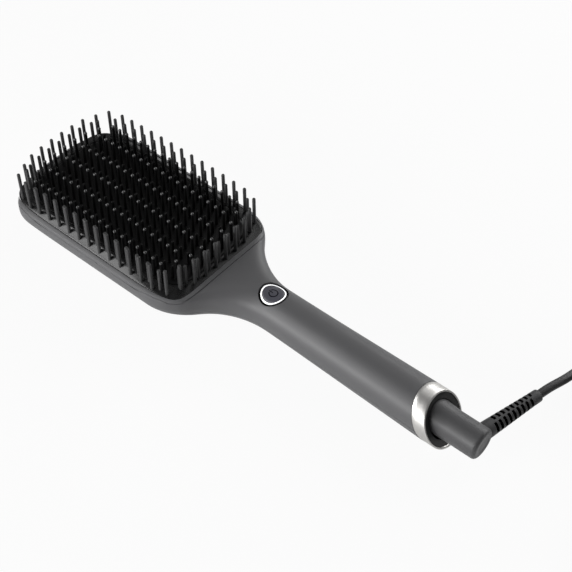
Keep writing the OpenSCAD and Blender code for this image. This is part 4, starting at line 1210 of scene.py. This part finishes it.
@dataclass
class LeadEnd:
    """Band, socket, swivel barrel and strain relief."""

    shape: HousingShape
    band_wall: float = 1.0
    barrel_r: float = 8.7
    foot_r: float = 9.5
    swivel_gap: float = 0.3
    journal_r: float = 5.95
    bulkhead_t: float = 4.0
    socket_r: float = 11.4
    relief_setback: float = 6.3
    relief_angle: float = math.radians(13)
    relief_l: float = 36.0
    relief_r0: float = 4.7
    relief_r1: float = 3.5
    cone_start: float = 9.7
    slots: int = 9
    first_slot: float = 12.2
    collar: Steps = ((0.7, 0.05), (0.25, 0.15), (0.05, 0.4), (0.0, 0.7))
    slot_w: float = 1.7
    slot_l: float = 5.4
    slot_floor: float = 2.7
    slot_turn: float = math.radians(53)

    @property
    def bulkhead_x(self) -> float:
        """Place of the socket's bearing wall."""
        return self.shape.band_x - 6.9

    @property
    def foot_x(self) -> float:
        """Place of the barrel's foot."""
        return self.bulkhead_x + self.bulkhead_t + 0.4

    @property
    def relief_x(self) -> float:
        """Place of the strain relief's root."""
        return self.shape.barrel_x - self.relief_setback

    def turned(self, steps: Sequence[tuple[float, float, float]], sides: int = 96) -> Points:
        """Rings round the axis.

        Args:
            steps: Place along the axis, radius, and share of the band's slant for each ring.
            sides: Points round it.

        Returns:
            Rings as rows of points.
        """
        a = np.linspace(0, 2 * math.pi, sides, endpoint=False)
        rows = []
        for x, r, slant in steps:
            y, z = r * np.cos(a), r * np.sin(a)
            rows.append(np.stack([x - slant * self.shape.slant * z, y, self.shape.axis_z + z], axis=1))
        return np.array(rows)

    def band(self) -> bmesh.types.BMesh:
        """The slanted metal band with softly broken edges."""
        x0, x1, r = self.shape.band_x + 0.08, self.shape.band_end_x, self.shape.end_r
        inner = r - self.band_wall
        steps = [(x0, inner), (x0, r - 0.25), (x0 + 0.08, r - 0.08), (x0 + 0.25, r), (x0 + 2.5, r), (x1 - 2.5, r)]
        steps += [(x1 - 0.4, r), (x1 - 0.16, r - 0.05), (x1 - 0.03, r - 0.2), (x1, r - 0.45)]
        steps += [(x1 - 0.05, inner + 0.12), (x1 - 0.2, inner)]
        rows = self.turned([(x, q, 1.0) for x, q in steps], 128)
        return skin(np.concatenate([rows, rows[:1]]))

    def socket(self) -> bmesh.types.BMesh:
        """The black socket: slanted face, bore and bearing."""
        x0, x1 = self.shape.band_x + 0.1, self.shape.band_end_x - 0.6
        r, bore, wall_x = self.shape.end_r - self.band_wall - 0.03, self.foot_r + self.swivel_gap, self.bulkhead_x
        hub, bearing, front_x = self.socket_r - 0.05, self.journal_r + 0.07, self.bulkhead_x + self.bulkhead_t
        steps = [(x0, hub, 1.0), (x0, r, 1.0), (x1 - 0.2, r, 1.0), (x1, r - 0.2, 1.0), (x1, bore + 0.35, 1.0)]
        steps += [(x1 - 0.1, bore + 0.08, 1.0), (x1 - 0.4, bore, 1.0), (front_x, bore, 0.0), (front_x, bearing, 0.0)]
        steps += [(wall_x, bearing, 0.0), (wall_x, hub, 0.0)]
        rows = self.turned(steps, 128)
        return skin(np.concatenate([rows, rows[:1]]))

    def barrel(self) -> bmesh.types.BMesh:
        """The swivel barrel: tail, journal, flared foot, rounded end with a shallow dish."""
        x1, r, foot, journal = self.shape.barrel_x, self.barrel_r, self.foot_x, self.bulkhead_x - 2
        start, end = self.shape.band_end_x - 6, self.shape.band_end_x + 6
        steps = [(journal - 10, 3.9), (journal, 3.9), (journal + 0.05, self.journal_r - 0.05)]
        steps += [(foot, self.journal_r - 0.05), (foot, self.foot_r - 0.2), (foot + 0.2, self.foot_r)]
        steps += [(x, mix(r, self.foot_r, ease(x, start, end))) for x in np.linspace(start - 2, end, 16)]
        steps += [(x, r) for x in np.linspace(end + 3, x1 - 3, 4)]
        turns = np.linspace(0, math.pi / 2, 9)
        steps += [(x1 - 2 * (1 - math.sin(a)), r - 2 * (1 - math.cos(a))) for a in turns]
        steps += [(x1 - 0.02, 5.2), (x1 - 0.2, 4.8), (x1 - 0.25, 3.0), (x1 - 0.25, 1.0)]
        return skin(closed_rows(self.turned([(x, q, 0.0) for x, q in steps])))

    @property
    def relief_way(self) -> Points:
        """Direction of the strain relief."""
        return np.array([math.sin(self.relief_angle), math.cos(self.relief_angle), 0.0])

    @property
    def relief_root(self) -> Points:
        """Where the relief's axis meets the barrel's."""
        return np.array([self.relief_x, 0.0, self.shape.axis_z])

    @property
    def relief_out(self) -> float:
        """Distance of the relief's tip from its root."""
        return self.barrel_r / math.cos(self.relief_angle) + self.relief_l

    @property
    def cone_end(self) -> float:
        """Distance of the cone's end from the root, where the collar starts."""
        return self.relief_out - 4

    @property
    def relief_tip(self) -> Points:
        """Where the lead leaves the relief."""
        return self.relief_root + self.relief_out * self.relief_way

    def along_relief(self, steps: Sequence[tuple[float, float]], sides: int = 64) -> Points:
        """Rings round the relief's axis at each distance and radius."""
        way = self.relief_way
        return np.array([ring_about(self.relief_root + s * way, way, r, sides) for s, r in steps])

    def slot_cutter(self, at: float, side: int, turned: bool) -> bpy.types.Object:
        """A rounded block that cuts one slot.

        Args:
            at: Distance of the slot's start from the relief's root.
            side: Which of the two faces, 1 or -1.
            turned: Whether the slot belongs to the rows a quarter turn from the first ones.

        Returns:
            The cutting form.
        """
        bm = bmesh.new()
        bmesh.ops.create_cube(bm, size=1.0)
        high = 6.0
        bmesh.ops.scale(bm, vec=(self.slot_l, self.slot_w, high), verts=bm.verts)
        along_x = [e for e in bm.edges if abs(e.verts[0].co.x - e.verts[1].co.x) > 1]
        bmesh.ops.bevel(bm, geom=along_x, offset=0.45, segments=3, profile=0.5, affect="EDGES", material=-1)
        bmesh.ops.translate(bm, vec=(0, at + 0.75, side * (self.slot_floor + high / 2)), verts=bm.verts)
        roll = self.slot_turn - (math.pi / 2 if turned else 0.0)
        turn = Matrix.Rotation(-self.relief_angle, 4, "Z") @ Matrix.Rotation(roll, 4, "Y")
        bmesh.ops.transform(bm, matrix=turn, verts=bm.verts)
        bmesh.ops.translate(bm, vec=self.relief_root, verts=bm.verts)
        return as_object("slot", bm)

    def relief(self) -> bpy.types.Object:
        """The strain relief: smooth root, slotted cone and smooth collar."""
        out, r0, r1, start, end = self.relief_out, self.relief_r0, self.relief_r1, self.cone_start, self.cone_end
        steps = [(4.2, r0), (7.4, r0), (8.2, r0), (start, r0)]
        steps += [(s, mix(r0, r1, (s - start) / (end - start))) for s in np.linspace(10.5, end, 24)]
        steps += [(end + 0.1, r1), *((out - back, r1 - fall) for back, fall in self.collar)]
        form = solid("strain_relief_sleeve", self.along_relief(steps))
        pitch = (self.relief_l - 8) / self.slots
        for i in range(self.slots):
            for side in (-1, 1):
                for turned in (False, True):
                    at = self.first_slot + (i + 0.5 * turned) * pitch
                    combine(form, self.slot_cutter(at, side, turned), Join.CUT)
        return form

    def with_painted_slot_shade(self, material: bpy.types.Material) -> bpy.types.Material:
        """Paints shade into the relief's finish below the cone's surface: there the slots are darkened and lose their
        gloss as painted shade, so that they look deep.

        Args:
            material: The relief's finish.

        Returns:
            The same material.
        """
        w = Sockets(material.node_tree)
        way = tuple(self.relief_way)
        offset = w.vector("SUBTRACT", w.place(), tuple(self.relief_root * MM))[0]
        along = w.vector("DOT_PRODUCT", offset, way)["Value"]
        away = w.vector("LENGTH", w.vector("CROSS_PRODUCT", offset, way)[0])["Value"]
        slope = (self.relief_r0 - self.relief_r1) / (self.cone_end - self.cone_start)
        past = w.math("MAXIMUM", 0.0, w.math("SUBTRACT", along, self.cone_start * MM))
        surface = w.math("SUBTRACT", self.relief_r0 * MM, w.math("MULTIPLY", past, slope))
        depth = w.math("DIVIDE", w.math("SUBTRACT", surface, away), MM)
        below = w.math("MAXIMUM", 0.0, w.math("SUBTRACT", depth, 0.12))
        slot_shade_mask = w.math("MINIMUM", 1.0, w.math("MULTIPLY", below, 4.0))
        # Painted shade: the near-black colour under the mask stands in for the shade that falls into the slots.
        return darkened(material, slot_shade_mask, (0.006, 0.006, 0.006))

    def build(self, m: Materials) -> bpy.types.Object:
        """Builds the pieces and dresses them.

        Args:
            m: The finishes by name.

        Returns:
            The strain relief, which is handed to the lead.
        """
        band, socket = as_object("bright_band", self.band()), as_object("swivel_socket", self.socket())
        barrel = as_object("barrel", self.barrel())
        finish(band, Carrier.BODY, m["satin_steel"], ("end_band",), 50)
        finish(socket, Carrier.BODY, m["socket_black"], ("end_socket",))
        finish(barrel, Carrier.SWIVEL, m["barrel_grey"], ("swivel_barrel",))
        # The rubber's finish carries painted shade in the slots.
        rubber_with_painted_shade = self.with_painted_slot_shade(m["relief_grey"])
        return finish(self.relief(), Carrier.SWIVEL, rubber_with_painted_shade, ("strain_relief",))


# ---------------------------------------------------------------- lead


@dataclass
class Lead:
    """The lead from the relief to the plug, its coil, tie and plug."""

    end: LeadEnd
    diameter: float = 4.8
    centre: tuple[float, float] = (199.0, 100.0)
    turns: float = 11.5
    layers: int = 4
    mid_r: float = 28.5
    pitch: float = 5.35
    tie_t: float = 0.8
    plug_x: float = 230.0
    plug_z: float = 6.8
    neck_y: float = 52.0
    prong_x: float = 9.3
    plug_way: tuple[float, float, float] = (0.0, -1.0, 0.0)
    sleeve_steps: Steps = ((2.5, 1.95), (-7.6, 1.95), (-8.0, 1.85), (-8.0, 1.2))
    tip_steps: Steps = ((9.5, 1.9), (-7.5, 1.9), (-15.4, 2.0), (-16.2, 1.86), (-16.8, 1.4), (-17.0, 0.7))
    plug_rings: Steps = (
        *((38.6, 9.4, 9.4, 2.2), (38.0, 12, 11.4, 2.6), (36.5, 14, 12.6, 3), (33, 18.5, 13.3, 3.4)),
        *((28, 25, 13.5, 3.8), (23, 30.5, 13.6, 4.2), (18, 33.2, 13.6, 4.6)),
        *((12, 34, 13.6, 5), (4, 34, 13.6, 5)),
        *((2.6, 33.8, 13.4, 5), (2.1, 33.2, 12.8, 5), (2.0, 32.2, 11.8, 5), (2.0, 20, 6, 4)),
    )
    run_points: Steps = ((161.8, 61, 13.4), (162.9, 68, 12), (163.2, 75, 9.4), (163, 82, 6.5), (162.8, 89, 4.1))
    tail_points: Steps = ((235, 89, 18.2), (234.2, 82, 16), (233, 75, 13.2), (231.6, 68, 10.4), (230.4, 60, 7.9))

    @property
    def swing(self) -> float:
        """How far a turn's radius swings each way."""
        return self.pitch * self.turns / self.layers / 2

    @property
    def low_z(self) -> float:
        """Height of the lowest layer's middle, which lies on the tie."""
        return self.tie_t + 0.1 + self.diameter / 2

    @property
    def top_z(self) -> float:
        """Height of the top layer's middle."""
        return self.low_z + (self.layers - 1) * self.pitch

    def coil_line(self, steps: int = 40) -> Points:
        """The coil's middle line, which spirals in and out and climbs where it turns back.

        Args:
            steps: Points on each turn.

        Returns:
            The line's points.
        """
        t = np.arange(0, self.turns * steps + 1) / steps
        span = self.turns / self.layers
        phase = t / span
        whole = np.minimum(np.floor(phase + 1e-9), self.layers - 1)
        part = phase - whole
        way = np.where(whole % 2 == 0, 1 - 2 * part, 2 * part - 1)
        r = self.mid_r + self.swing * way
        climbed = sum(
            0.5 - 0.5 * np.cos(np.pi * np.clip((t - k * span) / 0.5 + 0.5, 0, 1)) for k in range(1, self.layers)
        )
        a = np.pi - 2 * np.pi * t
        x, y = self.centre[0] + r * np.cos(a), self.centre[1] + r * np.sin(a)
        return np.stack([x, y, self.low_z + self.pitch * climbed], axis=1)

    def line(self) -> Points:
        """The whole middle line, from the relief's tip to the plug."""
        outer = self.mid_r + self.swing
        start = (self.centre[0] - outer, self.centre[1] - self.diameter, self.low_z)
        stop = (self.centre[0] + outer, self.centre[1] - self.diameter, self.top_z)
        tip = self.end.relief_tip
        first = smooth_curve([tip, tip + 8 * self.end.relief_way, *self.run_points, start], 5)
        last = smooth_curve([stop, *self.tail_points, (self.plug_x, self.neck_y, self.plug_z)], 5)
        return np.vstack([first, self.coil_line(), last])

    def tie(self) -> bmesh.types.BMesh:
        """A strap round the coil's turns."""
        t, w, play, round_r, soft, lip = self.tie_t, 8.0, 0.6, 2.6, 0.25, 0.2
        reach = self.swing + self.diameter / 2 + play
        y0, y1 = self.centre[1] - self.mid_r - reach - t, self.centre[1] - self.mid_r + reach + t
        z0, z1 = 0.0, self.top_z + self.diameter / 2 + 0.3 + t
        half = [(-w / 2, soft), (-w / 2 + lip, 0.0)]
        section = half + [(-s, d) for s, d in half[::-1]]
        section += [(s, t - d) for s, d in section[::-1]]
        rows = []
        corners = ((y1, z1), (y0, z1), (y0, z0), (y1, z0))
        for turn, (y, z) in enumerate(corners):
            cy = y + (round_r if y == y0 else -round_r)
            cz = z + (round_r if z == z0 else -round_r)
            for a in np.linspace(0, math.pi / 2, 7) + turn * math.pi / 2:
                c, q = math.cos(a), math.sin(a)
                ring = ((s, round_r - d) for s, d in section)
                rows.append([(self.centre[0] + s, cy + r * c, cz + r * q) for s, r in ring])
        return skin(np.array([*rows, rows[0]]))

    def plug(self) -> bmesh.types.BMesh:
        """The plug's body: ribbed neck, shoulders and a flat front."""
        a = np.linspace(0, 2 * math.pi, 72, endpoint=False)
        neck = self.diameter
        rings = [(51.9, neck + 0.4, neck + 0.4, 2), (51.8, neck + 1.4, neck + 1.4, 2)]
        for k in range(5):
            y, d = 50.6 - k * 2.3, neck + 1.7 + k * 0.45
            groove = ((0, 0), (-1.0, 0), (-1.15, 0.9), (-2.1, 0.9))
            rings += [(y + dy, d - drop, d - drop, 2) for dy, drop in groove]
        rows = []
        for y, w, h, square in (*rings, *self.plug_rings):
            x = self.plug_x + w / 2 * signed_power(np.cos(a), 2 / square)
            z = self.plug_z + h / 2 * signed_power(np.sin(a), 2 / square)
            rows.append(np.stack([x, np.full(len(a), y), z], axis=1))
        return skin(closed_rows(np.array(rows)))

    def prongs(self, steps: Sequence[tuple[float, float]]) -> bmesh.types.BMesh:
        """A pair of turned forms, with their place across the table and radius at each step."""
        forms = []
        for side in (-1, 1):
            x = self.plug_x + side * self.prong_x
            rings = [ring_about(np.array([x, y, self.plug_z]), self.plug_way, r, 24) for y, r in steps]
            forms.append(skin(closed_rows(np.array(rings))))
        return merged(forms)

    def build(self, m: Materials, relief: bpy.types.Object) -> None:
        """Args:
            m: The finishes by name.
            relief: The strain relief that the lead leaves; not used.
        """
        line = self.line()
        rows = tube_rows(line, self.diameter / 2, 16, self.end.relief_way, self.plug_way)
        black = m["part_black"]
        cord, tie, body, tips, sleeves = (
            finish(as_object(name, form), Carrier.SWIVEL, material, nodes, crease)
            for name, form, material, nodes, slot, crease in (
                ("lead", skin(closed_rows(rows)), m["lead_grey"], ("cord_run", "cord_coil", "cord_tail"), "lead", 60),
                ("coil_tie", self.tie(), m["tie_black"], ("cord_tie",), "lead", 50),
                ("mains_plug", self.plug(), black, ("plug_body",), "lead", 40),
                ("plug_prongs", self.prongs(self.tip_steps), m["pin_nickel"], ("plug_pins",), "pin_metal", 50),
                ("prong_sleeves", self.prongs(self.sleeve_steps), black, ("plug_pins",), "lead", 50),
            )
        )


# ---------------------------------------------------------------- inner pieces

INNER_FINISHES: dict[str, tuple[str, ...]] = {
    "spreader_metal": ("heat_spreader",),
    "ceramic_cream": ("heater_left", "heater_right", "switch_plunger", "contact_holder"),
    "board_tan": ("insulation_board",),
    "sensor_blue": ("temperature_sensor",),
    "screw_steel": ("thermal_fuse", "plate_screws", "board_screws", "retaining_clip"),
    "wire_red": ("heater_leads",),
    "wire_white": ("sensor_leads",),
    "wire_blue": ("supply_leads",),
    "board_green": ("main_board",),
    "capacitor_yellow": ("film_capacitor",),
    "part_black": ("power_switch", "control_chip", "tact_switch"),
    "ring_light": ("status_leds",),
    "contact_brass": ("contact_leaves", "slip_rings"),
    "lead_grey": ("lead_core",),
}


def dress_inner(nodes: dict[str, bpy.types.Object], m: Materials) -> None:
    """Gives every CAD node that stays its own finish.

    Args:
        nodes: The CAD nodes by name.
        m: The finishes by name.
    """
    for finish_name, names in INNER_FINISHES.items():
        for name in names:
            for slot in nodes[name].material_slots:
                slot.material = m[finish_name]
            LOG.info("%s: dressed in %s", name, finish_name)


# ---------------------------------------------------------------- studio


@dataclass(frozen=True)
class Lamp:
    """A soft rectangular lamp aimed at a point."""

    name: str
    place: tuple[float, float, float]
    target: tuple[float, float, float]
    size: tuple[float, float]
    power: float
    lights: bool = True

    def build(self) -> None:
        """Adds the lamp to the scene, as a light or only as a reflection."""
        data = bpy.data.lights.new(self.name, "AREA")
        data.shape = "RECTANGLE"
        data.size, data.size_y = self.size
        data.energy = self.power
        obj = bpy.data.objects.new(self.name, data)
        obj.location = self.place
        aim = Vector(self.place) - Vector(self.target)
        obj.rotation_euler = aim.to_track_quat("Z", "Y").to_euler()
        obj.visible_diffuse = self.lights
        bpy.context.scene.collection.objects.link(obj)


@dataclass
class Studio:
    """Camera, floor, world and lamps."""

    azimuth: float = 0.70182191
    elevation: float = 0.84153895
    distance: float = 0.7
    shift: tuple[float, float] = (0.0835678, -0.0574844)
    origin: tuple[float, float, float] = (-0.0833, 0.0, 0.0475)
    focal_px: float = 1262.60
    lamps: tuple[Lamp, ...] = (
        Lamp("front", (-0.45, -1.03, 0.32), (-0.03, 0.0, 0.01), (1.1, 0.34), 12.3),
        Lamp("back", (0.20, 1.00, 0.50), (0.0, 0.0, 0.01), (1.2, 0.5), 7.5),
        Lamp("sheen", (-0.58, -0.496, 0.62), (-0.084, -0.037, 0.0265), (0.6, 0.34), 3.4, False),
        Lamp("band_card", (-0.02, 0.265, 0.43), (0.126, 0.0, 0.028), (0.3, 0.3), 0.2),
    )
    world_light: float = 0.07
    world_gloss: float = 0.16

    def camera(self) -> None:
        """Sets the camera at the photograph's viewpoint."""
        az, el = self.azimuth, self.elevation
        back = Vector((math.sin(az) * math.cos(el), -math.cos(az) * math.cos(el), math.sin(el)))
        right = Vector((math.cos(az), math.sin(az), 0.0))
        up = back.cross(right)
        data = bpy.data.cameras.new("camera")
        data.sensor_width = 36.0
        data.lens = self.focal_px / 572 * 36.0
        data.clip_start, data.clip_end = 0.01, 20.0
        obj = bpy.data.objects.new("camera", data)
        turn = Matrix((right, up, back)).transposed().to_4x4()
        place = self.shift[0] * right + self.shift[1] * up + self.distance * back + Vector(self.origin)
        obj.matrix_world = Matrix.Translation(place) @ turn
        bpy.context.scene.collection.objects.link(obj)
        bpy.context.scene.camera = obj

    def floor(self) -> None:
        """Adds the pale floor, which shows white with a faint shadow."""
        bm = bmesh.new()
        bmesh.ops.create_grid(bm, x_segments=1, y_segments=1, size=3.0)
        bmesh.ops.translate(bm, vec=(0, 0, -0.0003), verts=bm.verts)
        obj = as_object("floor", bm)
        mat = bpy.data.materials.new("floor_white")
        mat.use_nodes = True
        mat.node_tree.nodes.clear()
        w = Sockets(mat.node_tree)
        out = w.add("ShaderNodeOutputMaterial")
        matt = w.add("ShaderNodeBsdfDiffuse", Color=(0.9, 0.9, 0.9, 1))
        glow = w.add("ShaderNodeEmission", Color=(1, 1, 1, 1), Strength=1.0)
        rays = w.add("ShaderNodeLightPath")
        mirrored = w.math("MULTIPLY", rays.outputs["Is Glossy Ray"], 0.6)
        seen = w.math("MAXIMUM", rays.outputs["Is Camera Ray"], mirrored)
        blend = w.add("ShaderNodeMixShader")
        w.link(w.math("MULTIPLY", seen, 0.94), blend.inputs["Fac"])
        w.link(matt.outputs[0], blend.inputs[1])
        w.link(glow.outputs[0], blend.inputs[2])
        w.link(blend.outputs[0], out.inputs["Surface"])
        obj.data.materials.append(mat)

    def world(self) -> None:
        """Sets a white world that lights softly and shows white."""
        world = bpy.data.worlds.new("studio")
        bpy.context.scene.world = world
        world.use_nodes = True
        world.node_tree.nodes.clear()
        w = Sockets(world.node_tree)
        out = w.add("ShaderNodeOutputWorld")
        back = w.add("ShaderNodeBackground", Color=(1, 1, 1, 1))
        rays = w.add("ShaderNodeLightPath")
        shown = w.math("MULTIPLY", rays.outputs["Is Camera Ray"], 1.0 - self.world_light)
        gloss = w.math("MULTIPLY", rays.outputs["Is Glossy Ray"], self.world_gloss - self.world_light)
        strength = w.math("ADD", w.math("ADD", shown, gloss), self.world_light)
        w.link(strength, back.inputs["Strength"])
        w.link(back.outputs[0], out.inputs["Surface"])

    def build(self) -> None:
        """Builds the studio."""
        self.camera()
        self.floor()
        self.world()
        for lamp in self.lamps:
            lamp.build()
        settings = bpy.context.scene.view_settings
        settings.view_transform = "Standard"


def main() -> None:
    """Builds the studio and every piece."""
    logging.basicConfig(level=logging.INFO, format="%(name)s: %(message)s", stream=sys.stdout, force=True)
    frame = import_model()
    Studio().build()
    grain = grain_group()
    m = {name: f.material(grain) for name, f in FINISHES.items()}
    shape = HousingShape()
    plate = PlateShape(shape)
    end = LeadEnd(shape)
    relief = end.build(m)
    Lead(end).build(m, relief)
    for part in (Housings(shape, plate), BrushPlate(plate), PushButton(shape)):
        part.build(m)
    dress_inner(frame["nodes"], m)


if __name__ == "__main__":
    main()
